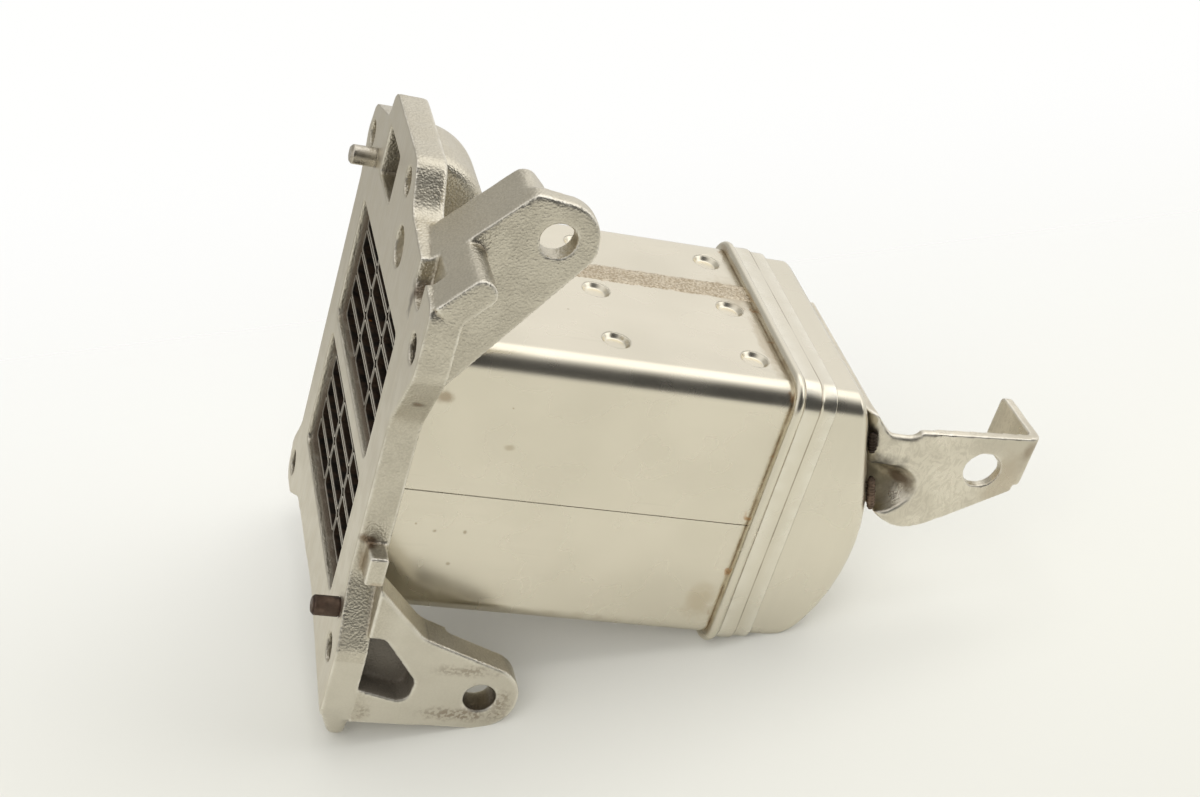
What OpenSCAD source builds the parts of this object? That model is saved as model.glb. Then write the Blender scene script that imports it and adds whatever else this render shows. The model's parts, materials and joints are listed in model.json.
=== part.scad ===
// Brazed stainless exhaust gas recirculation cooler with a cast mounting flange.
// Origin: middle of the core on the flange's sealing face. X runs along the core away
// from the flange, Y points to the far side, Z points up. Near is -Y, far is +Y.

/* [Core] */
// Width of the shell, near face to far face
core_w = 91; // [86:1:110]
// Height of the shell, bottom to top
core_h = 93; // [88:1:110]
// Length of the shell between its two tube sheets
core_l = 111; // [90:1:180]
// Outer corner radius of the shell
core_r = 7; // [5:0.5:9]
// Thickness of the shell's sheet
shell_t = 1.2; // [0.8:0.1:1.6]
// Height of the lengthwise seam above the middle of the core
seam_z = -1.8; // [-6:0.2:6]
// Height of the lap behind the seam
lap_h = 5; // [3:0.5:8]
// Diameter of the pressed dimples
dimple_d = 9.4; // [7:0.2:11]
// Depth of the pressed dimples
dimple_depth = 1.5; // [0.8:0.1:2]
// Pitch of the dimples along the core
dimple_pitch_x = 43.5; // [30:0.5:50]
// Pitch of the dimples across the core
dimple_pitch_y = 29.2; // [20:0.2:30]
// Distance from the rear tube sheet to the last dimples
dimple_end = 8.6; // [8:0.2:16]

/* [Gas tubes] */
// Columns of tubes across the core
tube_cols = 3; // [2:1:4]
// Rows of tubes in each pass
tube_rows = 5; // [3:1:6]
// Wall of a tube
tube_wall = 0.6; // [0.4:0.1:1]
// Outer corner radius of a tube
tube_r = 1.6; // [1.2:0.1:2.4]
// Gap between neighbouring tubes
tube_gap = 0.8; // [0.6:0.1:1.5]
// Depth of the tube ends behind the sealing face
tube_inset = 3; // [1:0.5:5]
// Length of tube that stands out behind the rear tube sheet
tube_stand = 1.2; // [0.5:0.1:3]
// Thickness of the two tube sheets
header_t = 1.5; // [1:0.1:2.5]

/* [Flange] */
// Thickness of the flange plate
flange_t = 9.5; // [8.5:0.5:14]
// Depth of the seat for the core in the back of the flange
seat_depth = 3.5; // [2.5:0.5:4.5]
// Land of the flange beside the core on the near side
land_near = 11.5; // [9:0.5:16]
// Land of the flange beside the core on the far side
land_far = 8.5; // [7:0.5:14]
// Land between the shell's side and a gas window
window_side = 4.5; // [3:0.5:7]
// Land between the shell's top or bottom and a gas window
window_end = 1.5; // [1:0.5:4]
// Height of the bar between the gas windows
bar_h = 6; // [4:0.5:10]
// Corner radius of the gas windows
window_r = 2.9; // [2:0.1:5]
// Diameter of the flange bolt holes
bolt_d = 8.6; // [6.6:0.2:9]
// Material beside a bolt hole, from its middle to the flange edge
lobe = 8.4; // [8:0.2:11]
// Near upper bolt, outboard of the shell and above it
bolt_near_up = [15.7, 7]; // [0:0.1:25]
// Near lower bolt, outboard of the shell and below it
bolt_near_low = [10.3, 6.5]; // [0:0.1:25]
// Far upper bolt, outboard of the shell and above it
bolt_far_up = [5.4, 15.7]; // [0:0.1:25]
// Far lower bolt, outboard of the shell and below it
bolt_far_low = [7.7, 16.9]; // [0:0.1:25]
// Bolt beside the coolant port, towards the near side of it and above its middle
bolt_port = [27.1, 8.6]; // [0:0.1:40]
// Diameter of the bleed hole
bleed_d = 12; // [8:0.2:13]
// Bleed hole, towards the near side of the coolant port and below its middle
bleed_at = [35.7, 7.6]; // [0:0.1:45]
// Width of the open pocket in the upper edge
pocket_w = 11; // [6:0.5:13]
// Depth of the open pocket behind the sealing face
pocket_depth = 5; // [2:0.5:7]
// Reach of the lower near corner below its bolt
foot_drop = 32; // [26:1:36]
// Slope of the bevel across the front of that corner, from upright
foot_bevel = 22; // [15:1:30]
// Width of the square datum pad on the near edge
pad_w = 5.5; // [4:0.5:7]
// Height of the square datum pad
pad_h = 9.5; // [6:0.5:12]
// Reach of the square datum pad from the near edge
pad_reach = 8; // [4:0.5:10]

/* [Coolant port] */
// Width of the coolant port
port_w = 22; // [16:1:24]
// Height of the coolant port
port_h = 16; // [12:1:18]
// Middle of the port from the middle of the core towards the far side
port_y = 17.2; // [10:0.2:20]
// Middle of the port above the top of the shell
port_rise = 21.7; // [20:0.1:26]
// Wall of the cast hood behind the port
hood_wall = 3; // [2.5:0.5:5]
// Inner bend radius of the hood
hood_bend = 1.5; // [1:0.5:3]

/* [Upper arm] */
// Diameter of the hole in the arm's eye
arm_hole_d = 10.2; // [8:0.2:14]
// Outer radius of the arm's eye
arm_eye_r = 11.7; // [10:0.1:14]
// Distance of the eye from the sealing face
arm_eye_x = 34.8; // [28:0.2:45]
// Height of the eye above the top of the shell
arm_eye_rise = 37.9; // [32:0.1:45]
// Thickness of the eye
arm_eye_t = 6.5; // [4:0.5:9]
// Distance of the eye's near face outboard of the shell
arm_out = 3; // [2:0.5:6]
// Slope of the arm's upper face
arm_slope = 47.3; // [42:0.1:50]
// Length of the arm's upper face
arm_len = 36.5; // [30:0.5:37.5]
// Width of the rib behind the eye
rib_w = 12.4; // [6:0.2:15]
// Length of the finger on the near side of the arm
finger_len = 16; // [10:0.5:22]
// Thickness of that finger
finger_t = 8.5; // [7:0.5:12]

/* [Lower lug] */
// Diameter of the hole in the lug
lug_hole_d = 9.8; // [8:0.2:12]
// Outer radius of the lug's eye
lug_eye_r = 11.9; // [10:0.1:15]
// Distance of the hole from the sealing face
lug_x = 46.3; // [38:0.2:60]
// Depth of the hole below the bottom of the shell
lug_drop = 14.3; // [12:0.1:17]
// Thickness of the lug
lug_t = 9; // [6:0.5:9.5]
// Setback of the lug from the flange's near edge
lug_setback = 0.4; // [0:0.1:2]
// Corner radius of the three sided pocket in the lug
lug_pocket_r = 3.6; // [2:0.2:4]
// Thickness of the web behind the lug's pocket
lug_web_t = 2; // [1:0.5:4]

/* [Dowel pins] */
// Diameter of a dowel pin
pin_d = 6; // [5:0.5:7]
// Length of a dowel pin in front of the sealing face
pin_out = 8; // [4:0.5:12]
// Length of a dowel pin inside the flange
pin_in = 7; // [4:0.5:8]
// Chamfer on the ends of a dowel pin
pin_chamfer = 0.8; // [0.2:0.1:1.2]
// Depth of the relief on the pressed in part of a dowel pin
pin_relief = 0.2; // [0.1:0.1:0.4]
// Upper pin, inboard of the shell's far side and above the shell
pin_up = [7.4, 13.6]; // [0:0.1:20]
// Lower pin, outboard of the shell's near side and above the shell's bottom
pin_low = [10, 8.2]; // [0:0.1:20]

/* [Rear sheet] */
// Reach of the bead beyond the shell
bead_out = 2.8; // [2:0.1:4]
// Width of the bead along the core
bead_w = 3.4; // [2.6:0.1:5]
// Length of the wide band behind the bead
band_wide = 6; // [4:0.5:9]
// Length of the narrow band that laps the end cap
band_narrow = 5; // [4:0.5:9]
// Thickness of the bands
band_t = 1.2; // [0.8:0.1:1.6]
// Step between the wide and the narrow band
band_step = 0.8; // [0.4:0.1:1.2]

/* [End cap] */
// Reach of the cap behind the bands
cap_reach = 25.7; // [24:0.1:36]
// Thickness of the cap
cap_t = 1.2; // [0.8:0.1:1.6]
// Edge radius round the cap's end face
cap_edge = 6; // [4:0.5:8]
// Lean of the end face's upper half from upright
cap_lean = 18.9; // [12:0.1:20]
// Height of the cap's nose above the middle of the core
nose_z = -8; // [-12:0.5:-4]
// Height over which the end face bends round the nose
nose_h = 21; // [12:1:22]
// Length of the scoop under the nose, along the core
scoop_l = 21; // [14:0.5:22]

/* [Rear bracket] */
// Thickness of the bracket's sheet
sheet_t = 3.2; // [2.4:0.1:3.6]
// Inner bend radius
bend_r = 4; // [3:0.5:5]
// Far end of the leg on the end cap, from the middle of the core
leg_far = 26.5; // [15:0.5:32]
// Lower edge of the leg above the middle of the core
leg_low = 5; // [3:0.5:8]
// Upper edge of the leg above the middle of the core
leg_top = 39.5; // [37:0.5:39.5]
// Near face of the plate, inboard of the shell's near face
plate_in = 3.5; // [2.5:0.5:5]
// Length of the plate behind the end cap
plate_l = 46.4; // [40:0.2:60]
// Upper edge of the plate beside the bend, above the middle of the core
plate_top = 33.8; // [33:0.2:35]
// Step up in that edge behind the bend
plate_step = 2.2; // [0.5:0.1:3]
// Rise of that edge from the step to the tab
tab_rise = 3; // [1:0.2:5]
// Radius of the plate's round toe
toe_r = 16.6; // [14:0.2:17]
// Reach of the toe below the leg
toe_drop = 3.5; // [1:0.5:5]
// Diameter of the hole in the plate
plate_hole_d = 12; // [8:0.2:13]
// Distance of the hole from the plate's end
plate_hole_end = 15.7; // [13:0.1:18]
// Height of the hole above the middle of the core
plate_hole_z = 25.6; // [24:0.2:27]
// Length of the tab
tab_l = 21.5; // [12:0.5:26]
// Lean of the tab past square
tab_lean = 2; // [0:1:12]
// Radius of the gusset pressed into the bend
gusset_r = 9; // [7:0.5:10]
// Depth of the gusset from the outer corner of the bend
gusset_depth = 11.2; // [10:0.2:12]
// Height of the gusset along the end face
gusset_s = 13.5; // [12:0.5:15]
// Radius of the weld beads in the groove beside the bend
weld_r = 1.2; // [0.8:0.1:1.4]
// Length of the longer weld beads
weld_l = 10; // [6:0.5:12]

/* [Braze] */
// Width of the braze strip on the shell's top
strip_w = 11.6; // [6:0.2:14]
// Thickness of the braze strip
strip_t = 0.35; // [0.2:0.05:0.6]
// Near edge of the strip from the middle of the core
strip_y = 5.4; // [5.4:0.1:8]

/* [Fit] */
// Clearance between brazed pieces
fit = 0.1; // [0.05:0.05:0.2]
// Overlap that merges the forms of one casting
merge = 1; // [0.5:0.5:2]

/* [Hidden] */
$fn = 48;
arc_steps = 6;
TUBES = [for (row = [1 : 2 * tube_rows]) for (col = [1 : tube_cols]) [row, col]];
function tube_name(t) = str("gas_tube_", t[0], "_", t[1]);

// Faces of the core
near = -core_w / 2;
far = core_w / 2;
top = core_h / 2;
bottom = -core_h / 2;

// Stations along the core
seat_x = flange_t - seat_depth;
shell_x = seat_x + header_t;
sheet_x = shell_x + core_l;
band_x = sheet_x + bead_w;
step_x = band_x + band_wide;
lap_x = step_x + band_narrow;
cap_x = step_x - band_narrow / 2;
end_x = lap_x + cap_reach;

// Gas windows and tubes
window_w = core_w - 2 * window_side;
window_h = (core_h - bar_h) / 2 - window_end;
window_z = (bar_h + window_h) / 2;
roof = top - shell_t - dimple_depth - 5 * fit;
row_pitch = (roof - bar_h / 2) / tube_rows;
col_pitch = window_w / tube_cols;
tube_w = col_pitch - tube_gap;
tube_h = row_pitch - tube_gap;
function tube_row_z(row) =
    row > tube_rows ? -tube_row_z(2 * tube_rows + 1 - row)
                    : bar_h / 2 + (tube_rows - row + 0.5) * row_pitch;
function tube_col_y(col) = (col - (tube_cols + 1) / 2) * col_pitch;

// Places on the flange
port_z = top + port_rise;
near_up = [near - bolt_near_up.x, top + bolt_near_up.y];
near_low = [near - bolt_near_low.x, bottom - bolt_near_low.y];
far_up = [far + bolt_far_up.x, top + bolt_far_up.y];
far_low = [far + bolt_far_low.x, bottom - bolt_far_low.y];
port_bolt = [port_y - bolt_port.x, port_z + bolt_port.y];
bleed = [port_y - bleed_at.x, port_z - bleed_at.y];
BOLTS = [near_up, near_low, far_up, far_low, port_bolt];
tail_d = pin_d - 2 * pin_relief;
pin_up_at = [far - pin_up.x, top + pin_up.y];
pin_low_at = [near - pin_low.x, bottom + pin_low.y];
edge_near = near - land_near;
edge_far = far + land_far;
head_top = port_bolt.y + lobe + 0.1 * lobe;
shoulder_z = near_up.y + 2 * lobe;
toe_near = near_low.x - lobe - merge;

// Places of the cast arm and lug
arm_near = near - arm_out;
arm_eye = [arm_eye_x, top + arm_eye_rise];
arm_foot = [merge, shoulder_z + merge / 4];
slope_dir = [cos(arm_slope), sin(arm_slope)];
slope_down = [sin(arm_slope), -cos(arm_slope)];
arm_nose = arm_foot + arm_len * slope_dir;
lug_near = toe_near + lug_setback;
lug_eye = [lug_x, bottom - lug_drop];
lug_knee = [lug_eye.x - 1.8 * lug_eye_r, lug_eye.y + 1.72 * lug_eye_r];

// Places of the hood
hood_z = port_z - port_h / 2 - hood_bend;
duct_r = hood_bend + port_h - merge / 2;
duct_w = port_w - merge;
hood_r = hood_bend + port_h + hood_wall;
hood_w = port_w + 2 * hood_wall;

// Places of the end cap, with its skin as rings of points
cap_inset = band_t + band_step + fit - bead_out / 2;
cap_low = bottom + cap_inset;
lean_x = end_x + tan(cap_lean) * (nose_z + nose_h / 2);
cap_arc = 9;
cap_side = 12;
cap_rings = 8;
cap_lid = 8;
cap_count = 4 * (cap_arc + 1) + 2 * (cap_side - 1);

// Places of the rear bracket
plate_near = near + plate_in;
plate_far = plate_near + sheet_t;
bend_out = bend_r + sheet_t;
bend_at = [bend_out, plate_near + bend_out - fit];
plate_end = end_x + plate_l;
tab_top = plate_top + plate_step + tab_rise;
plate_hole = [plate_end - plate_hole_end, plate_hole_z];
heel = [plate_end, plate_hole.y - plate_hole_d / 3];
toe = [end_x + 0.7 * toe_r, leg_low - toe_drop + toe_r];
groove_edge = 0.8 * cap_edge;
groove_at = [-groove_edge, near + cap_inset + groove_edge];

// Plane geometry
function unit(v) = v / norm(v);
function cross_z(a, b) = a.x * b.y - a.y * b.x;
function flat(p) = [p.x, p.y];
function wrap(list, i) = list[(i + len(list)) % len(list)];

// Arc that rounds corner p with radius r
function corner(before, p, after, r) =
    let (u = unit(before - p), v = unit(after - p), half = acos(u * v) / 2)
    let (middle = p + unit(u + v) * r / sin(half), start = p + u * r / tan(half) - middle)
    let (turn = sign(cross_z(p - before, after - p)) * (180 - 2 * half))
    [for (i = [0 : arc_steps])
        let (a = atan2(start.y, start.x) + turn * i / arc_steps) middle + r * [cos(a), sin(a)]];

// Outline through points [x, y, corner radius]
function rounded(points) =
    [for (i = [0 : len(points) - 1])
        each points[i][2] == 0 ? [flat(points[i])]
            : corner(flat(wrap(points, i - 1)), flat(points[i]), flat(wrap(points, i + 1)), points[i][2])];

// Point just inside a circle where a line from p ends, on the side given by turn
function touch(p, middle, outer, turn) =
    let (r = outer - fit, d = norm(p - middle))
    let (a = atan2(p.y - middle.y, p.x - middle.x) + turn * acos(r / d))
    middle + r * [cos(a), sin(a)];

// Middle of a circle of radius r that touches two circles on its near side
function nestle(a, ra, b, rb, r) =
    let (d = norm(b - a), la = ra + r, lb = rb + r, s = (d * d + la * la - lb * lb) / (2 * d))
    let (u = unit(b - a), h = sqrt(la * la - s * s))
    a + s * u + h * [u.y, -u.x];

// Extrudes a shape in Y and Z along X
module along_x(from, to) {
    translate([from, 0, 0]) rotate([90, 0, 90]) linear_extrude(to - from) children();
}

// Extrudes a shape in X and Z along Y
module along_y(from, to) {
    translate([0, to, 0]) rotate([90, 0, 0]) linear_extrude(to - from) children();
}

// Rectangle with round corners
module round_rect(w, h, r) {
    square([w - 2 * r, h], center = true);
    square([w, h - 2 * r], center = true);
    for (x = [-1, 1], y = [-1, 1]) {
        translate([x * (w / 2 - r), y * (h / 2 - r)]) circle(r);
    }
}

// Sweeps a profile [outward, along the core] round a rectangle with round corners
module sweep_round(w, h, r) {
    rotate([90, 0, 90]) {
        for (i = [0 : 3]) {
            across = i % 2 == 0 ? w : h;
            along = i % 2 == 0 ? h : w;
            rotate(90 * i) {
                translate([across / 2, along / 2 - r, 0]) rotate([90, 0, 0])
                    linear_extrude(along - 2 * r) children();
                translate([across / 2 - r, along / 2 - r, 0])
                    rotate_extrude(angle = 90) translate([r, 0]) children();
            }
        }
    }
}

// Round hole or bar along X at a place in Y and Z
module bar_x(at, d, from, to) {
    translate([from, at.x, at.y]) rotate([0, 90, 0]) cylinder(d = d, h = to - from);
}

// Round hole or bar along Y at a place in X and Z
module bar_y(at, d, from, to) {
    translate([at.x, to, at.y]) rotate([90, 0, 0]) cylinder(d = d, h = to - from);
}

// Outline of the flange plate in Y and Z
module flange_outline() {
    polygon(rounded([
        [port_y + port_w / 2 + hood_wall, head_top, 5],
        [port_bolt.x - lobe / 2, head_top, 7],
        [port_bolt.x - 1.6 * lobe, shoulder_z + lobe / 2, 8],
        [near_up.x - lobe, shoulder_z, 4],
        [near_up.x - lobe, near_up.y - lobe / 2, 10],
        [edge_near, near_up.y - 3.1 * lobe, 15],
        [edge_near, near_low.y + 3.4 * lobe, 15],
        [toe_near, near_low.y + 0.7 * lobe, 10],
        [toe_near, near_low.y - 1.8 * lobe, 10],
        [near_low.x - lobe / 2, near_low.y - foot_drop, 4],
        [near_low.x + 4.5 * lobe, far_low.y + lobe / 8, 12],
        [far_low.x - 2.4 * lobe, far_low.y, 8],
        [far_low.x - 0.7 * lobe, far_low.y - lobe, 5],
        [far_low.x + 0.7 * lobe, far_low.y - lobe, 6],
        [far_low.x + lobe, far_low.y + lobe / 2, 7],
        [edge_far, far_low.y + 1.9 * lobe, 10],
        [edge_far, far_up.y - 1.9 * lobe, 10],
        [far_up.x + 0.9 * lobe, far_up.y - lobe / 4, 6],
        [far_up.x + lobe / 2, far_up.y + lobe, 5],
        [port_y + port_w / 2 + 1.8 * hood_wall, far_up.y + 1.7 * lobe, 4],
    ]));
}

// Near eye plate of the upper arm in X and Z
module arm_outline() {
    root = [flange_t - merge, top - 2.5 * lobe];
    under = touch(root, arm_eye, arm_eye_r, 1);
    over = touch(arm_nose, arm_eye, arm_eye_r, -1);
    polygon(concat(
        [arm_foot],
        corner(arm_foot, arm_nose, over, arm_eye_r / 3),
        [over, arm_eye, under, root]
    ));
    translate(arm_eye) circle(arm_eye_r);
}

// Rib behind the eye in X and Z
module rib_outline() {
    start = arm_foot + fit * slope_down;
    nose = arm_nose + fit * slope_down;
    back = nose + arm_eye_r * slope_down;
    polygon(rounded([
        [start.x, start.y, 0],
        [nose.x, nose.y, arm_eye_r / 3],
        [back.x, back.y, arm_eye_r / 3],
        [flange_t - merge, top + lobe, 0],
    ]));
}

// Finger in front of the arm in X and Z
module finger_outline() {
    start = arm_foot + fit * slope_down;
    tip = start + finger_len * slope_dir;
    under = tip + finger_t * slope_down;
    root = under - (under.x - flange_t + merge) / slope_dir.x * slope_dir;
    polygon(rounded([
        [start.x, start.y, 0],
        [tip.x, tip.y, finger_t * 0.45],
        [under.x, under.y, finger_t * 0.45],
        [root.x, root.y, 0],
    ]));
}

module upper_arm() {
    along_y(arm_near, arm_near + arm_eye_t) arm_outline();
    along_y(arm_near + arm_eye_t - merge, arm_near + arm_eye_t + rib_w) rib_outline();
    along_y(near_up.x - lobe, arm_near + merge) finger_outline();
}

// Lower lug in X and Z
module lug_body() {
    root = [flange_t - merge, lug_knee.y + (lug_knee.x - flange_t + merge)];
    over = touch(lug_knee, lug_eye, lug_eye_r, -1);
    polygon(concat(
        [root],
        corner(root, lug_knee, over, lug_eye_r / 1.2),
        [over, lug_eye, lug_eye - [0, lug_eye_r]],
        [[flange_t - merge, lug_eye.y - lug_eye_r - merge]]
    ));
    translate(lug_eye) circle(lug_eye_r);
}

// Three sided pocket of the lug in X and Z
module lug_pocket() {
    pocket_top = lug_knee.y - 1.5 * merge;
    polygon(rounded([
        [flange_t - merge, pocket_top, 0],
        [flange_t - merge, lug_eye.y, 0],
        [lug_knee.x, lug_eye.y - lug_eye_r / 3, lug_pocket_r],
        [lug_knee.x + lug_eye_r / 20, lug_eye.y + lug_eye_r * 3 / 8, lug_pocket_r],
        [flange_t + lug_eye_r / 3, pocket_top, lug_pocket_r],
    ]));
}

// Part of the lug that the web behind the pocket covers
module lug_web() {
    intersection() {
        lug_body();
        translate([0, bottom - core_h]) square([lug_eye.x - lug_eye_r - merge, 2 * core_h]);
    }
}

// Space in front of the bevel across the lower near corner
module foot_cut() {
    start = [near_low.x + 4.5 * lobe, far_low.y + lobe / 8];
    stop = [toe_near, near_low.y - 2.1 * lobe];
    run = stop - start;
    translate([0, start.x, start.y]) rotate([atan2(-run.y, -run.x), 0, 0]) rotate([0, -foot_bevel, 0])
        translate([-foot_drop, -2 * norm(run), -foot_drop])
            cube([foot_drop, 2 * norm(run), foot_drop]);
}

// Section of the hood or of its duct, from the bend axis outwards
module hood_section(w, inner, outer, r) {
    translate([inner, -w / 2]) square([outer - inner - r, w]);
    translate([inner, -w / 2 + r]) square([outer - inner, w - 2 * r]);
    for (side = [-1, 1]) {
        translate([outer - r, side * (w / 2 - r)]) circle(r);
    }
}

// Elbow that turns from a place along the core down to the shell
module elbow(from, w, inner, outer, r, down) {
    translate([from, port_y, hood_z]) {
        rotate([90, 0, 0]) rotate_extrude(angle = 90) hood_section(w, inner, outer, r);
        translate([0, 0, -down]) linear_extrude(down) hood_section(w, inner, outer, r);
    }
}

module flange() {
    color([0.79, 0.77, 0.72]) difference() {
        union() {
            along_x(0, flange_t) flange_outline();
            upper_arm();
            along_y(lug_near, lug_near + lug_t) difference() {
                lug_body();
                lug_pocket();
            }
            along_y(lug_near + lug_t - merge / 2, lug_near + lug_t + lug_web_t) lug_web();
            elbow(flange_t - merge, hood_w, 0, hood_r, hood_wall + hood_bend, hood_z - top + merge);
            translate([(flange_t - pad_w) / 2 + merge, edge_near - pad_reach, near_low.y + 3.6 * lobe])
                cube([pad_w, pad_reach + merge, pad_h]);
        }
        // Seat of the core and the envelope that the shell needs behind the plate
        along_x(seat_x, sheet_x) round_rect(core_w + 2 * fit, core_h + 2 * fit, core_r + fit);
        for (side = [-1, 1]) {
            along_x(-merge, seat_x + merge) translate([0, side * window_z])
                round_rect(window_w, window_h, window_r);
        }
        along_x(-merge, flange_t + merge) translate([port_y, port_z]) round_rect(port_w, port_h, hood_bend);
        elbow(flange_t, duct_w, hood_bend, duct_r, hood_bend, hood_z - top + 2 * merge);
        for (b = BOLTS) {
            bar_x(b, bolt_d, -merge, flange_t + merge);
        }
        bar_x(bleed, bleed_d, -merge, flange_t + merge);
        for (p = [pin_up_at, pin_low_at]) {
            bar_x(p, tail_d + 2 * fit, -merge, pin_in);
            bar_x(p, pin_d + 2 * fit, -merge, merge / 2);
        }
        bar_y(arm_eye, arm_hole_d, arm_near - merge, arm_near + arm_eye_t + merge);
        bar_y(lug_eye, lug_hole_d, lug_near - merge, lug_near + lug_t + merge);
        foot_cut();
        along_x(-merge, pocket_depth) polygon(rounded([
            [near_up.x + lobe / 2 - merge / 2, near_up.y + lobe, pocket_w / 4],
            [near_up.x + lobe / 2 + 0.6 * pocket_w, near_up.y + lobe, pocket_w / 4],
            [near_up.x + lobe / 2 + pocket_w, near_up.y + 1.5 * lobe, pocket_w / 4],
            [near_up.x + lobe / 2 + pocket_w, near_up.y + 4 * lobe, 0],
            [near_up.x + lobe / 2 - merge / 2, near_up.y + 4 * lobe, 0],
        ]));
    }
}

// Dowel pin with chamfered ends and a relieved tail at a place in Y and Z
module dowel_pin(at) {
    neck = pin_out - 3 * fit;
    total = pin_out + pin_in;
    translate([-pin_out, at.x, at.y]) rotate([0, 90, 0]) rotate_extrude() polygon([
        [0, 0],
        [pin_d / 2 - pin_chamfer, 0],
        [pin_d / 2, pin_chamfer],
        [pin_d / 2, neck],
        [tail_d / 2, neck],
        [tail_d / 2, total - pin_chamfer],
        [tail_d / 2 - pin_chamfer, total],
        [0, total],
    ]);
}

module dowel_pin_upper() {
    color([0.55, 0.53, 0.5]) dowel_pin(pin_up_at);
}

module dowel_pin_lower() {
    color([0.3, 0.22, 0.18]) dowel_pin(pin_low_at);
}

// Holes of a tube sheet
module tube_holes() {
    for (t = TUBES) {
        translate([tube_col_y(t[1]), tube_row_z(t[0])])
            round_rect(tube_w + 2 * fit, tube_h + 2 * fit, tube_r + fit);
    }
}

module front_header() {
    color([0.5, 0.48, 0.45]) along_x(seat_x, shell_x) difference() {
        round_rect(core_w, core_h, core_r);
        tube_holes();
    }
}

// Turned up edge of the rear tube sheet: bead, wide band, step and narrow band
module rear_edge_profile() {
    wide = bead_out / 2;
    narrow = wide - band_step;
    foot = wide - band_t;
    translate([bead_out - bead_w / 2, bead_w / 2]) circle(bead_w / 2);
    translate([-core_r / 2, 0]) square([core_r / 2 + bead_out - bead_w / 2, header_t]);
    translate([foot, 0]) square([bead_out - bead_w / 2 - foot, bead_w]);
    polygon([
        [foot, 0],
        [wide, bead_w / 2],
        [wide, bead_w + band_wide - band_step],
        [narrow, bead_w + band_wide + band_step],
        [narrow, bead_w + band_wide + band_narrow],
        [narrow - band_t, bead_w + band_wide + band_narrow],
        [narrow - band_t, bead_w + band_wide + band_step],
        [foot, bead_w + band_wide - band_step],
    ]);
}

module rear_header() {
    color([0.76, 0.74, 0.69]) {
        translate([sheet_x, 0, 0]) sweep_round(core_w, core_h, core_r) rear_edge_profile();
        along_x(sheet_x, sheet_x + header_t) difference() {
            round_rect(core_w - core_r / 2, core_h - core_r / 2, core_r - core_r / 4);
            tube_holes();
        }
    }
}

// Wall of the shell with its dimples, standing on the named side of the core
module shell_wall(side) {
    inner_r = core_r - shell_t;
    flat_d = dimple_d * 0.62;
    difference() {
        union() {
            along_x(shell_x, sheet_x) difference() {
                round_rect(core_w, core_h, core_r);
                round_rect(core_w - 2 * shell_t, core_h - 2 * shell_t, inner_r);
            }
            dimples(side) {
                translate([0, 0, -shell_t - dimple_depth])
                    cylinder(d1 = flat_d, d2 = dimple_d, h = dimple_depth + shell_t / 2);
            }
        }
        dimples(side) {
            translate([0, 0, -dimple_depth])
                cylinder(d1 = flat_d, d2 = dimple_d + 2 * fit, h = dimple_depth + fit);
        }
    }
}

// Places of the dimples, with the surface of the shell at height 0
module dimples(side) {
    for (i = [0, 1], j = [-1 : 1]) {
        translate([sheet_x - dimple_end - i * dimple_pitch_x, j * dimple_pitch_y, side * core_h / 2])
            mirror([0, 0, (1 - side) / 2]) children();
    }
}

module shell_upper() {
    color([0.8, 0.78, 0.72]) difference() {
        intersection() {
            shell_wall(1);
            translate([shell_x, -core_w, seam_z]) cube([core_l, 2 * core_w, core_h]);
        }
        // Coolant inlet under the hood
        translate([flange_t, port_y, top - core_r])
            linear_extrude(2 * core_r) hood_section(duct_w, hood_bend, duct_r, hood_bend);
    }
}

module shell_lower() {
    color([0.78, 0.76, 0.7]) {
        intersection() {
            shell_wall(-1);
            translate([shell_x, -core_w, seam_z - core_h]) cube([core_l, 2 * core_w, core_h]);
        }
        // Lap strips behind the seam, offset inwards by the thickness of the wall
        for (side = [-1, 1]) {
            along_x(shell_x, sheet_x) translate([side * (core_w - 3 * shell_t) / 2, seam_z]) {
                translate([-side * fit, 0]) square([shell_t, 2 * lap_h], center = true);
                translate([0, -lap_h * 0.75]) square([shell_t, lap_h / 2], center = true);
            }
        }
    }
}

// One flat gas tube, from the flange's windows through both tube sheets
module gas_tube(t) {
    color([0.33, 0.29, 0.25]) along_x(tube_inset, sheet_x + header_t + tube_stand)
        translate([tube_col_y(t[1]), tube_row_z(t[0])]) difference() {
            round_rect(tube_w, tube_h, tube_r);
            round_rect(tube_w - 2 * tube_wall, tube_h - 2 * tube_wall, tube_r - tube_wall);
        }
}

// End of the cap along the core at height z: leaning above the nose, scooped below it
function cap_end(z) =
    let (up = z - nose_z, s = min(1, max(0, -up) / (nose_z - cap_low)))
    up > nose_h ? end_x - tan(cap_lean) * (up - nose_h / 2)
        : up > 0 ? end_x - tan(cap_lean) * up * up / (2 * nose_h)
        : end_x - scoop_l * (1 - sqrt(1 - s * s));

// Loop of the cap's skin in Y and Z, drawn in from the cap's sides
function cap_loop(draw, inset) =
    let (w = far - cap_inset - inset - draw, up = top - cap_inset - inset - draw)
    let (low = cap_low + inset + draw, r = core_r - cap_inset - inset + draw / 2)
    let (reach = up - low - 2 * r)
    [for (k = [0 : 3]) each concat(
        [for (i = [0 : cap_arc])
            let (a = 90 * (k + i / cap_arc))
            [(k % 3 == 0 ? w - r : r - w) + r * cos(a), (k < 2 ? up - r : low + r) + r * sin(a)]],
        [for (i = [1 : 1 : (k % 2) * (cap_side - 1)])
            k == 1 ? [-w, up - r - reach * i / cap_side] : [w, low + r + reach * i / cap_side]]
    )];

// Ring of the skin at a share of the way from the cap's open end to its end face
function cap_ring(loop, share, inset) =
    [for (p = loop) [cap_x + share * (cap_end(p.y) - 1.3 * inset - cap_x), p.x, p.y]];

// Loop shrunk towards the middle of the end face
function shrunk(loop, k) = [for (p = loop) [k * p.x, nose_z + k * (p.y - nose_z)]];

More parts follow.
